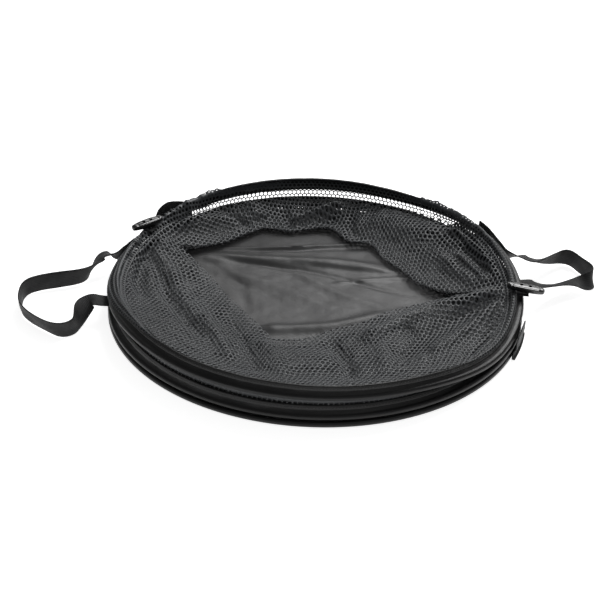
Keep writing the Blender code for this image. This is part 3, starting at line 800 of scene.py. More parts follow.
def lifted(mapping, flat, raised, height):
    """The mapped points, each yarn's middle raised along the surface's normal."""
    step = 0.6
    here = mapping(flat)
    dx = mapping(flat + np.array([step, 0.0])) - here
    dy = mapping(flat + np.array([0.0, step])) - here
    normal = np.cross(dx, dy)
    size = np.linalg.norm(normal, axis=1, keepdims=True)
    normal = np.where(size > 1e-9, normal / np.maximum(size, 1e-9), np.array([0.0, 0.0, 1.0]))
    return here + normal * (raised * height)[:, None]


def net_piece(name, mapping, keep, pitch, hole, corners_only, wander, height=0.55):
    centres = hex_centres(285.0, pitch)
    warped = warp(centres, wander)
    centres = centres[keep(warped)]
    flat, faces, raised = hex_cells(centres, pitch, hole, corners_only)
    points = lifted(lambda p: mapping(warp(p, wander)), flat, raised, height)
    # Faces that the folded edge or the rim has pressed flat are dropped.
    a, b, c, d = (points[faces[:, k]] for k in range(4))
    area = np.linalg.norm(np.cross(c - a, d - b), axis=1)
    faces = faces[area > 0.02]
    return mesh_object(name, points, faces, None, YARN)


def keep_upper(p):
    rho, bearing = polar(p[:, 0], p[:, 1])
    eye, _ = eye_at(bearing)
    outer, _ = bend_at(bearing)
    inside = rho < eye
    fits = (rho >= eye - 0.0) & (rho < outer + 0.5 * PITCH)
    near = np.where(inside & (rho > eye - 40))[0]
    if len(near):
        k = nearest_eye(p[near, 0], p[near, 1])
        gap = np.hypot(p[near, 0] - eye_line[k, 0], p[near, 1] - eye_line[k, 1])
        fits[near] = gap < ROLL * math.pi * 0.9
    return fits


def leaf_map(height, outer_of, inset=0.0):
    def place(p):
        x, y = p[:, 0].copy(), p[:, 1].copy()
        rho, bearing = polar(x, y)
        eye, _ = eye_at(bearing)
        outer, _ = outer_of(bearing)
        clipped = np.clip(rho, eye + inset, outer)
        scale = clipped / np.maximum(rho, 1e-6)
        x, y = x * scale, y * scale
        return np.stack([x, y, height(x, y)], axis=1)
    return place


def keep_leaf(outer_of, inset=0.0):
    def test(p):
        rho, bearing = polar(p[:, 0], p[:, 1])
        eye, _ = eye_at(bearing)
        outer, _ = outer_of(bearing)
        return (rho > eye + inset - 0.5) & (rho < outer + 2.6)
    return test


def base_seam(bearing):
    return np.full(np.shape(bearing), 261.0), np.full(np.shape(bearing), 3.0)


LOWER_INSET = 12.0


def lower_over(x, y):
    """Lower wall, from the mid hoop in to its own fold."""
    rho, bearing = polar(x, y)
    eye, _ = eye_at(bearing)
    outer, outer_z = mid_seam(bearing, 3.4)
    s = np.clip((rho - eye - LOWER_INSET) / (outer - eye - LOWER_INSET), 0, 1)
    return 5.4 + (outer_z - 5.4) * smooth(s) ** 1.8


def lower_base(x, y):
    rho, bearing = polar(x, y)
    eye, _ = eye_at(bearing)
    outer, _ = base_seam(bearing)
    s = np.clip((rho - eye - LOWER_INSET) / (outer - eye - LOWER_INSET), 0, 1)
    return 5.0 - 2.0 * smooth(s)


OVER = np.array([
    (-4.9, -0.6), (-4.3, 2.8), (-1.0, 4.9), (2.0, 4.5), (4.6, 3.2), (7.5, 2.3), (10.0, 2.7), (13.6, 2.8), (15.7, 1.9), (16.1, 0.0), (15.7, -1.9), (13.9, -2.8),
])
OVER_RUN = np.concatenate([[0.0], np.cumsum(np.linalg.norm(np.diff(OVER, axis=0), axis=1))])
OVER_RUN /= OVER_RUN[-1]


def bunch_zone(bearing):
    """Where the slack edge is pushed up over the rim: behind each toggle."""
    b = np.mod(bearing, 360.0)
    return smooth((b - 98.0) / 9.0) * smooth((176.0 - b) / 16.0) + smooth((b - 20.0) / 8.0) * smooth((66.0 - b) / 8.0)


def bunched(bearing):
    along = np.radians(np.mod(bearing, 360.0)) * HOOP_R
    return bunch_zone(bearing) * (0.62 + 0.75 * waves(along, 0.0 * along, 29, 30.0, 2))


def band_path(bearing, t):
    """The net's edge, from over or inside the rim (t 0) to where it bends in to the basket (t 1)."""
    lap = lapped(bearing)
    end_r, end_z = bend_at(bearing)
    places = []
    begin = lap_start(bearing)
    for share in (0.0, 0.12, 0.25, 0.38, 0.5, 0.62, 0.75, 0.88, 1.0):
        c = begin + (1 - begin) * share
        a = np.interp(c, OVER_RUN, OVER[:, 0])
        b = np.interp(c, OVER_RUN, OVER[:, 1])
        if share:
            a = a - (1 - lap) * share * 5.9
            b = b + (1 - lap) * share * 0.5
        swell = bunched(bearing)
        b = b + np.sign(b) * (0.9 + swell * 0.8) * np.clip((a + 1.0) / 6.0, 0, 1)
        a = a + swell * np.clip((a - 6.0) / 9.0, 0, 1) * 3.4
        places.append(on_hoop(TOP_WIRE_Z, TOP_LEAN, bearing, a, b))
    for a, b in ((2.6, -4.9), (-3.4, -5.3)):
        r, z = on_hoop(TOP_WIRE_Z, TOP_LEAN, bearing, a, b)
        share = 0.35 if a > 0 else 0.7
        straight_r = places[8][0] + (end_r - places[8][0]) * share
        straight_z = places[8][1] + (end_z - places[8][1]) * share
        places.append((r + (straight_r - r) * lap, z + (straight_z - z) * lap))
    places.append((end_r, end_z))
    radius = np.stack(np.broadcast_arrays(*[q[0] for q in places]))
    height = np.stack(np.broadcast_arrays(*[q[1] for q in places]))
    steps = np.hypot(np.diff(radius, axis=0), np.diff(height, axis=0))
    run = np.concatenate([np.zeros((1,) + steps.shape[1:]), np.cumsum(steps, axis=0)])
    want = t * run[-1]
    r, z = radius[0].copy(), height[0].copy()
    for k in range(len(places) - 1):
        part = np.clip((want - run[k]) / np.maximum(steps[k], 1e-6), 0, 1)
        here = want >= run[k]
        r = np.where(here, radius[k] + (radius[k + 1] - radius[k]) * part, r)
        z = np.where(here, height[k] + (height[k + 1] - height[k]) * part, z)
    return r, z


def ring_net(name, path, rows, hole, radius, keep=None, slack=0.0, shift=0.0):
    """A band of net round the trap. path gives radius and height for a bearing and a share of the way down."""
    around = round(2 * math.pi * radius / PITCH)
    pitch = 2 * math.pi * radius / around
    row_step = pitch * math.sqrt(3) / 2
    period = around * pitch
    centres = np.array([
        (i * pitch + (0.5 * pitch if j % 2 else 0.0), (j + 0.5) * row_step)
        for j in range(rows) for i in range(around)
    ])
    if keep is not None:
        centres = centres[keep(centres[:, 0] / radius * 180 / math.pi)]
    depth = rows * row_step
    if callable(hole):
        hole = hole(centres[:, 0] / radius * 180 / math.pi, centres[:, 1] / depth)
    flat, faces, raised = hex_cells(centres, pitch, hole, False, period)

    def place(p):
        bearing = p[:, 0] / radius * 180 / math.pi + shift
        t = np.clip(p[:, 1] / depth, 0, 1)
        r, z = path(bearing, t)
        loose = np.abs(waves(p[:, 0], p[:, 1], 17, 46.0, 2)) * slack * smooth((t - 0.4) / 0.3) * smooth((1 - t) / 0.2)
        return at(r - loose, bearing, z)

    here = place(flat)
    step = 0.6
    dx = place(flat + np.array([step, 0.0])) - here
    dy = place(flat + np.array([0.0, step])) - here
    normal = np.cross(dx, dy)
    size = np.linalg.norm(normal, axis=1, keepdims=True)
    normal = np.where(size > 1e-9, normal / np.maximum(size, 1e-9), 0.0)
    outward = here * np.array([1.0, 1.0, 0.0])
    flip = np.where((normal * outward).sum(1) > 0, -1.0, 1.0)[:, None]
    points = here + normal * flip * (raised * 0.3)[:, None]
    a, b, c, d = (points[faces[:, k]] for k in range(4))
    area = np.linalg.norm(np.cross(c - a, d - b), axis=1)
    return mesh_object(name, points, faces[area > 0.02], None, YARN)


def skirt_path(bearing, t):
    """A slack fold of the upper wall, standing on the mid hoop's seam inside the bulb of the top one."""
    low_r, low_z = on_hoop(MID_WIRE_Z, MID_LEAN, bearing, 11.0, -2.9)
    high_z = every(TOP_WIRE_Z, bearing) + 1.5
    fade = smooth((np.abs(np.mod(bearing - 89.0 + 180.0, 360.0) - 180.0) - 40.0) / 9.0)
    high_z = low_z + (high_z - low_z) * fade
    high_r = 270.6
    bulge = np.sin(math.pi * t) * 0.8
    return high_r + (low_r - high_r) * t + bulge * 0, high_z + (low_z - high_z) * t


def beside_gap(bearing):
    return np.abs(np.mod(bearing - 89.0 + 180.0, 360.0) - 180.0) > 38.0


def band_hole(bearing, t):
    """Pulled taut and open along the rear, and closed up by its own gathers everywhere else below the rim."""
    taut = smooth((40.0 - np.abs(np.mod(bearing - 89.0 + 180.0, 360.0) - 180.0)) / 4.0)
    below = smooth((t - 0.42) / 0.1)
    return 0.36 + below * (taut * 0.045 - (1 - taut) * 0.05) - (1 - below) * bunch_zone(bearing) * 0.25


def blended(obj, below, above, start, end):
    """Bends with the lift, weighted between the body below and the one above along its height."""
    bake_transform(obj, below, above, start=(0, 0, start * MM), end=(0, 0, end * MM))
    return obj


def opening(obj, share, wire_low, wire_high, seed):
    """As its two hoops part, the folded wall draws out to an upright one. share is how far up the wall each point is, 0 to 1."""
    mesh = obj.data
    count = len(mesh.vertices)
    co = np.empty(count * 3, np.float32)
    mesh.vertices.foreach_get("co", co)
    co = co.reshape(-1, 3).astype(float) / MM
    weight = np.empty(count, np.float32)
    mesh.attributes["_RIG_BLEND"].data.foreach_get("value", weight)
    _, bearing = polar(co[:, 0], co[:, 1])
    arc = np.radians(bearing) * 269.0
    low, high = wire_low(bearing), wire_high(bearing) + LIFT / MM
    z = low + (high - low) * share
    slack = np.sin(np.clip(share, 0, 1) * math.pi) * (7.0 + 5.0 * waves(arc, z, seed, 120.0, 3))
    open_at = at(269.0 - slack, bearing, z)
    for name, kind, field, values in (
        ("open_at", "FLOAT_VECTOR", "vector", open_at * MM),
        ("rest_z", "FLOAT", "value", co[:, 2] * MM),
    ):
        data = mesh.attributes.new(name, kind, "POINT")
        data.data.foreach_set(field, values.astype(np.float32).ravel())
    w_low, w_high = float(weight.min()), float(weight.max())
    tree = bpy.data.node_groups.new(f"{obj.name}_opening", "GeometryNodeTree")
    tree.interface.new_socket(name="Geometry", in_out="INPUT", socket_type="NodeSocketGeometry")
    tree.interface.new_socket(name="Geometry", in_out="OUTPUT", socket_type="NodeSocketGeometry")
    new = tree.nodes.new
    entry, leave = new("NodeGroupInput"), new("NodeGroupOutput")

    def named(title, kind):
        n = new("GeometryNodeInputNamedAttribute")
        n.data_type = kind
        n.inputs["Name"].default_value = title
        return next(o for o in n.outputs if o.name == "Attribute" and o.enabled)

    def sums(operation, a, b):
        n = new("ShaderNodeMath")
        n.operation = operation
        for k, x in enumerate((a, b)):
            if isinstance(x, (int, float)):
                n.inputs[k].default_value = x
            else:
                tree.links.new(x, n.inputs[k])
        return n.outputs[0]

    where = new("GeometryNodeInputPosition").outputs[0]
    parts = new("ShaderNodeSeparateXYZ")
    tree.links.new(where, parts.inputs[0])
    risen = sums("SUBTRACT", parts.outputs["Z"], named("rest_z", "FLOAT"))
    stat = new("GeometryNodeAttributeStatistic")
    stat.data_type = "FLOAT"
    stat.domain = "POINT"
    tree.links.new(entry.outputs[0], stat.inputs["Geometry"])
    tree.links.new(risen, next(i for i in stat.inputs if i.name == "Attribute" and i.enabled))
    least = next(o for o in stat.outputs if o.name == "Min" and o.enabled)
    most = next(o for o in stat.outputs if o.name == "Max" and o.enabled)
    part_lift = sums("DIVIDE", sums("SUBTRACT", most, least), w_high - w_low)
    whole_lift = sums("SUBTRACT", least, sums("MULTIPLY", part_lift, w_low))
    ease = new("ShaderNodeMapRange")
    ease.interpolation_type = "SMOOTHSTEP"
    ease.inputs["From Min"].default_value = 0.002
    ease.inputs["From Max"].default_value = LIFT
    ease.inputs["To Min"].default_value = 0.0
    ease.inputs["To Max"].default_value = 0.94
    tree.links.new(part_lift, ease.inputs["Value"])
    joined = new("ShaderNodeCombineXYZ")
    tree.links.new(whole_lift, joined.inputs["Z"])
    target = new("ShaderNodeVectorMath")
    target.operation = "ADD"
    tree.links.new(named("open_at", "FLOAT_VECTOR"), target.inputs[0])
    tree.links.new(joined.outputs[0], target.inputs[1])
    mix = new("ShaderNodeMix")
    mix.data_type = "VECTOR"
    vector_in = [i for i in mix.inputs if i.enabled]
    tree.links.new(ease.outputs["Result"], vector_in[0])
    tree.links.new(where, vector_in[1])
    tree.links.new(target.outputs[0], vector_in[2])
    move = new("GeometryNodeSetPosition")
    tree.links.new(entry.outputs[0], move.inputs["Geometry"])
    tree.links.new(next(o for o in mix.outputs if o.enabled), move.inputs["Position"])
    tree.links.new(move.outputs[0], leave.inputs[0])
    modifier = obj.modifiers.new("opening", "NODES")
    modifier.node_group = tree


def share_in_leaf(obj, outer_of, top, fold, inset=0.0):
    """Share of the wall's height for each point of a leaf: fold at its inner edge, top at its outer one."""
    co = np.empty(len(obj.data.vertices) * 3, np.float32)
    obj.data.vertices.foreach_get("co", co)
    co = co.reshape(-1, 3) / MM
    rho, bearing = polar(co[:, 0], co[:, 1])
    eye, _ = eye_at(bearing)
    outer, _ = outer_of(bearing)
    s = np.clip((rho - eye - inset) / (outer - eye - inset), 0, 1)
    return fold + (top - fold) * s


upper_net = net_piece("upper_net", upper_map, keep_upper, PITCH, 0.35, False, 5.0)
band_net = ring_net("upper_net_band", band_path, 5, band_hole, 269.0, slack=0.5)
skirt_net = ring_net("upper_net_slack", skirt_path, 2, 0.09, 268.0, beside_gap)
under_net = net_piece("upper_net_underside", leaf_map(under_height, lambda b: mid_seam(b, 0.6), 1.0), keep_leaf(lambda b: mid_seam(b, 0.6), 1.0), 6.3, 0.34, True, 5.0)
lower_net = net_piece("lower_net", leaf_map(lower_over, lambda b: mid_seam(b, 3.4), LOWER_INSET), keep_leaf(lambda b: mid_seam(b, 3.4), LOWER_INSET), 6.3, 0.34, True, 5.0)
base_net = net_piece("lower_net_underside", leaf_map(lower_base, base_seam, LOWER_INSET), keep_leaf(base_seam, LOWER_INSET), 6.3, 0.34, True, 5.0)

blended(upper_net, "mid_hoop", "top_hoop", -6.0, 26.0)
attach(band_net, "top_hoop")
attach(skirt_net, "mid_hoop")
blended(under_net, "mid_hoop", "top_hoop", 22.0, -8.0)
blended(lower_net, "base", "mid_hoop", -8.0, 20.0)
blended(base_net, "base", "mid_hoop", 2.9, 7.2)
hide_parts("upper_mesh_wall")
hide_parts("lower_mesh_wall")

rim_low = lambda b: every(BEND_Z, b)
mid_top = lambda b: mid_seam(b, 0.6)[1]
opening(upper_net, share_in_leaf(upper_net, bend_at, 1.0, 0.5), mid_top, rim_low, 41)
opening(under_net, share_in_leaf(under_net, lambda b: mid_seam(b, 0.6), 0.0, 0.5), mid_top, rim_low, 41)
base_top = lambda b: 3.0 + 0 * b
mid_low = lambda b: mid_seam(b, 3.4)[1]
opening(lower_net, share_in_leaf(lower_net, lambda b: mid_seam(b, 3.4), 1.0, 0.5, LOWER_INSET), base_top, mid_low, 47)
opening(base_net, share_in_leaf(base_net, base_seam, 0.0, 0.5, LOWER_INSET), base_top, mid_low, 47)


# ------------------------------------------------------------------ floor cloth
def floor_piece():
    rings, turns = 120, 300
    s = (np.arange(rings + 1) / rings)
    rho = s[1:, None] * FLOOR_R
    bearing = (np.arange(turns) * 360.0 / turns)[None, :]
    x, y = rho * np.cos(np.radians(bearing)), rho * np.sin(np.radians(bearing))
    keep = smooth((FLOOR_R - 12 - rho) / 30.0)
    z = 1.5 + (folded(x, y, FLOOR_FOLDS) * 0.9 + waves(x, y, 3, 120.0, 3) * 1.1 + waves(x, y, 6, 34.0, 2) * 0.25 + 1.4) * keep
    z = np.maximum(z, 1.25)
    top = np.stack([x, y, z], axis=-1)
    under = np.stack([x, y, 0.25 + 0.0 * z], axis=-1)
    centre_z = 1.5 + float((folded(np.array([0.0]), np.array([0.0]), FLOOR_FOLDS) * 0.9 + waves(np.array([0.0]), np.array([0.0]), 3, 120.0, 3) * 1.1 + waves(np.array([0.0]), np.array([0.0]), 6, 34.0, 2) * 0.25 + 1.4)[0])
    points = np.concatenate([top.reshape(-1, 3), under.reshape(-1, 3), [[0, 0, max(centre_z, 1.25)], [0, 0, 0.25]]])
    faces = [tuple(f) for f in grid_faces(rings, turns, False, True).tolist()]
    n = rings * turns
    faces += [tuple(i + n for i in reversed(f)) for f in list(faces)]
    last = (rings - 1) * turns
    for k in range(turns):
        j = (k + 1) % turns
        faces.append((last + j, last + k, n + last + k, n + last + j))
        faces.append((k, j, 2 * n))
        faces.append((n + j, n + k, 2 * n + 1))
    obj = mesh_object("floor_sheet", points, faces, None, FLOOR_CLOTH, 60.0)
    face_out(obj)
    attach(obj, "base")
    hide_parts("floor_panel")
    return obj


floor_sheet = floor_piece()


# ------------------------------------------------------------------ webbing
def ribbon_section(width, thick, across=10):
    w = np.linspace(-width / 2 + 0.5, width / 2 - 0.5, across)
    top = [(x, thick / 2) for x in w]
    side = [(width / 2 - 0.12, thick * 0.36), (width / 2, 0.0), (width / 2 - 0.12, -thick * 0.36)]
    low = [(x, -thick / 2) for x in w[::-1]]
    other = [(-width / 2 + 0.12, -thick * 0.36), (-width / 2, 0.0), (-width / 2 + 0.12, thick * 0.36)]
    return np.array(top + side + low + other)


def ribbon_mesh(name, centre, width_dir, width, thick, material, cup=0.0):
    """Webbing along a line of points with a direction for its width at each."""
    centre = np.asarray(centre, float)
    along = np.gradient(centre, axis=0)
    along /= np.linalg.norm(along, axis=1, keepdims=True)
    wide = np.asarray(width_dir, float)
    wide = wide - (wide * along).sum(1, keepdims=True) * along
    wide /= np.linalg.norm(wide, axis=1, keepdims=True)
    normal = np.cross(along, wide)
    section = ribbon_section(width, thick)
    length = np.concatenate([[0], np.cumsum(np.linalg.norm(np.diff(centre, axis=0), axis=1))])
    u, v = section[None, :, 0], section[None, :, 1]
    sag = cup * (1 - (2 * u / width) ** 2) * np.sin(length[:, None] / 31.0)
    wobble = 0.25 * np.sin(length[:, None] / 9.0 + u * 0.3)
    points = centre[:, None, :] + wide[:, None, :] * u[..., None] + normal[:, None, :] * (v + sag + wobble * (cup > 0))[..., None]
    lay = np.stack(np.broadcast_arrays(length[:, None], u, 0.0), axis=-1)
    return tube_like(name, points, False, material, lay)


def handle(side, route, hinge_x, rear, front, body):
    sign = math.copysign(1.0, hinge_x)
    line = through(route, 10)
    centre = line[:, :3]
    along = np.gradient(centre, axis=0)
    along /= np.linalg.norm(along, axis=1, keepdims=True)
    out = np.cross(along, np.array([0.0, 0.0, 1.0]))
    out /= np.linalg.norm(out, axis=1, keepdims=True)
    rise = np.cross(out, along)
    turn = np.radians(line[:, 3])[:, None]
    wide = rise * np.cos(turn) + out * np.sin(turn)

    first, first_wide = zip(*((np.array(p, float), np.array(w, float)) for p, w in rear))
    last, last_wide = zip(*((np.array(p, float), np.array(w, float)) for p, w in front))
    whole = np.concatenate([through(first, 8)[:-1], centre[5:-5], through(last, 8)[1:]])
    widths = np.concatenate([through(first_wide, 8)[:-1], wide[5:-5], through(last_wide, 8)[1:]])
    # Even spacing, and the corners eased.
    run = np.concatenate([[0], np.cumsum(np.linalg.norm(np.diff(whole, axis=0), axis=1))])
    even = np.linspace(0, run[-1], int(run[-1] / 1.6))
    whole = np.stack([np.interp(even, run, whole[:, k]) for k in range(3)], axis=1)
    widths = np.stack([np.interp(even, run, widths[:, k]) for k in range(3)], axis=1)
    for _ in range(8):
        whole[1:-1] = (whole[:-2] + 2 * whole[1:-1] + whole[2:]) / 4
    for _ in range(40):
        widths[1:-1] = (widths[:-2] + 2 * widths[1:-1] + widths[2:]) / 4
    obj = ribbon_mesh(f"{side}_handle_webbing", whole, widths, WEB_W, WEB_T, WEBBING, 0.35)
    edge = abs(hinge_x)
    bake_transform(obj, "top_hoop", body, start=(sign * (edge - 5.0) * MM, 0, 0), end=(sign * (edge + 7.0) * MM, 0, 0))
    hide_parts(f"{side}_handle_strap", f"{side}_handle_tab_rear", f"{side}_handle_tab_front")
    return obj, whole


def along_hoop(radius, bearings, heights):
    """A sewn end lying along the outside of the rim, its width upright."""
    return [(tuple(at(radius, b, z)), (0, 0, 1)) for b, z in zip(bearings, heights)]


def leaning(turn, sign):
    """Upright at 0, flat at 90."""
    t = math.radians(turn)
    return (0, sign * math.sin(t), math.cos(t))


left_handle, left_line = handle(
    "left", LEFT_ROUTE, -290.0,
    along_hoop(283.2, (156.5, 159.0, 161.5), (22.6, 23.4, 24.6)) + [((-276.5, 82, 26.6), leaning(28, -1)), ((-284.5, 76, 28.4), leaning(56, -1)), ((-293, 74, 29.4), leaning(76, -1))],
    [((-293, -48, 29.0), leaning(84, 1)), ((-286, -48, 28.0), leaning(90, 1)), ((-280, -47.5, 27.2), leaning(90, 1)), ((-273, -47, 26.9), leaning(90, 1))],
    "left_handle",
)
right_handle, right_line = handle(
    "right", RIGHT_ROUTE, 290.0,
    along_hoop(283.2, (35.6, 32.0, 28.8, 25.5), (45.5, 44.0, 41.0, 38.0)) + [((265, 107, 36.2), leaning(25, -1)), ((278, 104.5, 35.2), leaning(58, -1)), ((293, 104, 34.4), leaning(72, -1))],
    [((293, 33, 33.6), leaning(104, 1)), ((286, 33, 32.6), leaning(98, 1)), ((280, 33, 31.8), leaning(92, 1)), ((274, 33, 31.4), leaning(90, 1))],
    "right_handle",
)


def closure_piece(side, spec, tops):
    """A flap of webbing, flat against the stack, its edge bound."""
    first, last, depth = spec
    middle = CLOSURE_R + depth / 2
    low = CLOSURE_FOOT + 2.0
    columns, rows = 90, 34
    share = np.linspace(0, 1, columns)
    bearing = first + (last - first) * share
    knots = np.linspace(0, 1, len(tops))
    top = np.interp(share, knots, tops)
    for _ in range(6):
        top[1:-1] = (top[:-2] + 2 * top[1:-1] + top[2:]) / 4
    run = np.concatenate([np.linspace(0, 1, rows), np.linspace(1, 0, rows)])
    outer = np.concatenate([np.ones(rows), -np.ones(rows)])
    height = low + (top[:, None] - low) * run[None, :]
    # A hem along the rounded top and both ends, and a little slack in between.
    to_top = top[:, None] - height
    to_end = np.minimum(share, 1 - share)[:, None] * (last - first) * math.pi / 180 * middle
    hem = smooth((3.2 - np.minimum(to_top, to_end)) / 0.9)
    slack = 0.35 * waves(np.radians(bearing)[:, None] * middle, height, 91, 26.0, 2)
    edge = smooth(np.minimum(to_top, to_end) / 0.7)
    offset = outer[None, :] * (0.45 + 0.35 * hem) * (0.35 + 0.65 * edge) + slack * (1 - hem)
    points = at(middle + offset, bearing[:, None], height)
    lay = np.stack(np.broadcast_arrays(np.radians(bearing)[:, None] * middle, height, 0.0), axis=-1)
    obj = tube_like(f"{side}_closure_webbing", points, False, WEBBING, lay)
    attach(obj, f"{side}_closure")
    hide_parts(f"{side}_closure_flap")

    count = 60
    bearing = np.linspace(first - 1.0, last + 1.0, count)
    inner, outer = CLOSURE_R - 1.8, CLOSURE_R + depth
    profile = rounded([
        (inner, 0.6), (inner + 3, 0.45), (outer - 0.4, 0.5), (outer, 1.2), (outer - 0.4, 1.9), (inner + 2.2, 2.0),
        (inner + 1.6, 3.0), (inner + 1.6, CLOSURE_FOOT - 2), (inner + 1.3, CLOSURE_FOOT - 1.0), (inner + 0.2, CLOSURE_FOOT - 1.0), (inner, CLOSURE_FOOT - 2), (inner, 3.0),
    ], 2)
    points = at(profile[None, :, 0], bearing[:, None], profile[None, :, 1])
    along = np.radians(bearing - first) * CLOSURE_R
    across = np.concatenate([[0], np.cumsum(np.linalg.norm(np.diff(profile, axis=0), axis=1))])
    lay = np.stack(np.broadcast_arrays(along[:, None], across[None, :], 0.0), axis=-1)
    tab = tube_like(f"{side}_closure_patch", points, False, WEBBING, lay)
    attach(tab, "base")
    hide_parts(f"{side}_closure_tab")


closure_piece("left", LEFT_CLOSURE, LEFT_FLAP)
closure_piece("right", RIGHT_CLOSURE, RIGHT_FLAP)


# ------------------------------------------------------------------ toggles
def toggle_piece(side, place, reach):
    x, y, z, heading = place
    count, ring = 48, 40
    turn = math.radians(heading)
    cos, sin = math.cos(turn), math.sin(turn)
    k = np.arange(1, count)
    s = -np.cos(math.pi * k / count)
    full = np.sqrt(1 - s * s)
    half_w = TOGGLE_W / 2 * (0.34 + 0.66 * full) * np.minimum(1.0, full * 3.2)
    half_h = TOGGLE_H / 2 * (0.5 + 0.5 * full) * np.minimum(1.0, full * 3.2)
    t = 2 * math.pi * np.arange(ring) / ring
    c, d = np.cos(t), np.sin(t)
    across = half_w[:, None] * np.sign(c) * np.abs(c) ** 0.8
    up = half_h[:, None] * np.where(d > 0, 1.2 * np.abs(d) ** 0.62, -1.5 * np.abs(d) ** 1.1)
    # A shallow dished top inside a raised lip.
    inside = smooth((0.86 - np.abs(c)[None, :]) / 0.12) * smooth((0.80 - np.abs(s)[:, None]) / 0.1)
    up = up - np.where(d > 0, 0.8, 0.0) * inside
    along = (s * TOGGLE_L / 2)[:, None] + 0 * across
    points = np.stack([x + along * cos - across * sin, y + along * sin + across * cos, z + up], axis=-1)
    lay = np.stack([along, across, up], axis=-1)
    obj = tube_like(f"{side}_toggle_body", points, False, MOULDING, lay)
    tools = []
    for way in (-1, 1):
        import bmesh
        bm = bmesh.new()
        bmesh.ops.create_cone(bm, cap_ends=True, segments=28, radius1=(TOGGLE_HOLE_R + 0.5) * MM, radius2=(TOGGLE_HOLE_R + 0.5) * MM, depth=(TOGGLE_H + 6) * MM)
        u = way * TOGGLE_HOLE_X
        bmesh.ops.translate(bm, verts=bm.verts[:], vec=Vector((x + u * cos, y + u * sin, z)) * MM)
        mesh = bpy.data.meshes.new("drill")
        bm.to_mesh(mesh)
        bm.free()
        tool = bpy.data.objects.new(f"drill_{side}_{way + 1}", mesh)
        bpy.context.scene.collection.objects.link(tool)
        cut = obj.modifiers.new("hole", "BOOLEAN")
        cut.object = tool
        cut.operation = "DIFFERENCE"
        cut.solver = "EXACT"
        tools.append(tool)
    graph = bpy.context.evaluated_depsgraph_get()
    cut_mesh = bpy.data.meshes.new_from_object(obj.evaluated_get(graph))
    obj.modifiers.clear()
    obj.data = cut_mesh
    obj.data.set_sharp_from_angle(angle=math.radians(45))
    for tool in tools:
        bpy.data.objects.remove(tool)
    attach(obj, f"{side}_toggle")
    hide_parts(f"{side}_toggle")

    first, last, low = reach
    aim = math.atan2(y, x)
    out = np.array([math.cos(aim), math.sin(aim), 0.0])
    wide = np.array([-out[1], out[0], 0.0])
    run = np.linspace(first, last, 30)
    dip = 0.0 * run
    centre = out[None] * run[:, None] + np.array([0, 0, 1.0])[None] * (low + 0.5 + dip)[:, None]
    tab = ribbon_mesh(f"{side}_toggle_webbing", centre, np.repeat(wide[None], 30, axis=0), 15.0, 1.0, WEBBING)
    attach(tab, "top_hoop")
    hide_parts(f"{side}_toggle_tab")

    # The elastic loop, down one hole, under the tab and up the other.
    high, bottom = TOGGLE_H / 2 - 1.6, -TOGGLE_H / 2 - 1.8
    line = through([(-6, high), (-6, 0), (-6, bottom + 2.2), (-4.6, bottom + 0.5), (-2.6, bottom), (2.6, bottom), (4.6, bottom + 0.5), (6, bottom + 2.2), (6, 0), (6, high)], 8)
    tangent = np.gradient(line, axis=0)
    tangent /= np.linalg.norm(tangent, axis=1, keepdims=True)
    aside = np.stack([-tangent[:, 1], tangent[:, 0]], axis=1)
    round_by = 2 * math.pi * np.arange(18) / 18
    run = np.concatenate([[0], np.cumsum(np.linalg.norm(np.diff(line, axis=0), axis=1))])
    thick = 1.2 * (0.55 + 0.45 * smooth(np.minimum(run, run[-1] - run) / 0.5))[:, None] * (1 + 0.035 * np.cos(2 * round_by[None, :] + run[:, None] * 4.0))
    along = line[:, 0, None] + aside[:, 0, None] * thick * np.cos(round_by)[None]
    up = line[:, 1, None] + aside[:, 1, None] * thick * np.cos(round_by)[None]
    across = thick * np.sin(round_by)[None]
    points = np.stack([x + along * cos - across * sin, y + along * sin + across * cos, z + up], axis=-1)
    lay = np.stack(np.broadcast_arrays(run[:, None], (round_by * 1.2)[None, :], 0.0), axis=-1)
    cord = tube_like(f"{side}_toggle_elastic", points, False, CORD, lay)
    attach(cord, f"{side}_toggle")
    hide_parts(f"{side}_toggle_cord")
    print("cord length", side, round(float(run[-1]), 1))


toggle_piece("left", LEFT_TOGGLE, LEFT_TAB)
toggle_piece("right", RIGHT_TOGGLE, RIGHT_TAB)


# ------------------------------------------------------------------ what the sheets were cut to
def area_of(obj):
    mesh = obj.data
    mesh.calc_loop_triangles()
    co = np.empty(len(mesh.vertices) * 3, np.float32)
    mesh.vertices.foreach_get("co", co)
    co = co.reshape(-1, 3).astype(float)
    tri = np.empty(len(mesh.loop_triangles) * 3, np.int32)
    mesh.loop_triangles.foreach_get("vertices", tri)
    a, b, c = (co[tri.reshape(-1, 3)[:, k]] for k in range(3))
    return float(np.linalg.norm(np.cross(b - a, c - a), axis=1).sum() / 2)


for net, flat in ((upper_net, (1.73, 0.15)), (band_net, (1.73, 0.03)), (skirt_net, (1.7, 0.014)), (under_net, (1.73, 0.15)), (lower_net, (1.73, 0.14)), (base_net, (1.73, 0.14))):
    print("net area", net.name, round(area_of(net), 4), "of", round(flat[0] * flat[1], 4), "faces", len(net.data.polygons))


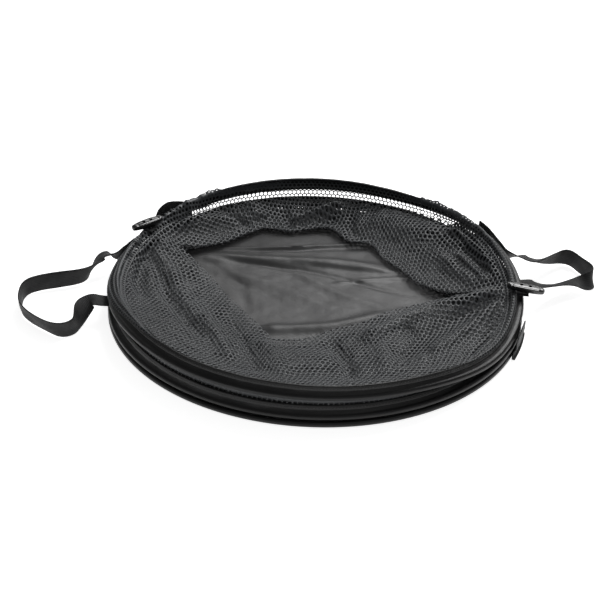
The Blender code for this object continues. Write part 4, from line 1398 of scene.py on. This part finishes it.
# ------------------------------------------------------------------ stage, light and camera
def stage_floor():
    mesh = bpy.data.meshes.new("studio_floor")
    mesh.from_pydata([(-9, -9, -0.0006), (9, -9, -0.0006), (9, 9, -0.0006), (-9, 9, -0.0006)], [], [(0, 1, 2, 3)])
    obj = bpy.data.objects.new("studio_floor", mesh)
    bpy.context.scene.collection.objects.link(obj)
    made, tree, shader = nodes_of("studio_floor")
    v = lay_vector(tree, False)
    link(tree, ramp(tree, noise(tree, v, 3.0), (0.93, 0.93, 0.93), (0.95, 0.95, 0.95)), shader.inputs["Base Color"])
    shader.inputs["Roughness"].default_value = 0.9
    shader.inputs["Specular IOR Level"].default_value = 0.1
    shader.inputs["Emission Color"].default_value = (1, 1, 1, 1)
    shader.inputs["Emission Strength"].default_value = 0.82
    mesh.materials.append(made)


stage_floor()


def area_light(name, where, target, size, energy):
    data = bpy.data.lights.new(name, "AREA")
    data.shape = "RECTANGLE"
    data.size, data.size_y = size
    data.energy = energy
    obj = bpy.data.objects.new(name, data)
    obj.location = where
    obj.rotation_mode = "QUATERNION"
    obj.rotation_quaternion = (Vector(target) - Vector(where)).to_track_quat("-Z", "Y")
    bpy.context.scene.collection.objects.link(obj)
    return obj


area_light("key", (0.75, 1.5, 2.05), (0, 0, 0), (1.3, 1.1), 44.0)
area_light("rear", (0.4, 2.7, 1.5), (0, 0, 0), (2.4, 0.9), 13.0)
area_light("fill", (1.1, -2.0, 1.8), (0, 0, 0), (2.2, 1.2), 3.5)

world = bpy.data.worlds.new("studio")
world.use_nodes = True
world.node_tree.nodes["Background"].inputs["Color"].default_value = (1, 1, 1, 1)
world.node_tree.nodes["Background"].inputs["Strength"].default_value = 0.2
bpy.context.scene.world = world

ELEVATION, AZIMUTH, DISTANCE, ROLL_CAM = 31.454, -0.211, 2.110, 2.177
elevation, azimuth, roll = (math.radians(x) for x in (ELEVATION, AZIMUTH, ROLL_CAM))
forward = Vector((math.sin(azimuth) * math.cos(elevation), math.cos(azimuth) * math.cos(elevation), -math.sin(elevation)))
right = Vector((math.cos(azimuth), -math.sin(azimuth), 0))
upward = right.cross(forward)
right_turned = right * math.cos(roll) + upward * math.sin(roll)
up_turned = upward * math.cos(roll) - right * math.sin(roll)
camera_data = bpy.data.cameras.new("camera")
camera_data.sensor_width = 36.0
camera_data.lens = 1546.28 / 600 * 36
camera_data.shift_x = -(315.06 - 300) / 600
camera_data.shift_y = (307.965 - 300) / 600
camera_data.clip_start, camera_data.clip_end = 0.05, 50
camera = bpy.data.objects.new("camera", camera_data)
bpy.context.scene.collection.objects.link(camera)
turned = Matrix((
    (right_turned.x, up_turned.x, -forward.x),
    (right_turned.y, up_turned.y, -forward.y),
    (right_turned.z, up_turned.z, -forward.z),
)).to_4x4()
camera.matrix_world = Matrix.Translation(-forward * DISTANCE) @ turned
bpy.context.scene.camera = camera
bpy.context.scene.view_settings.view_transform = "Standard"
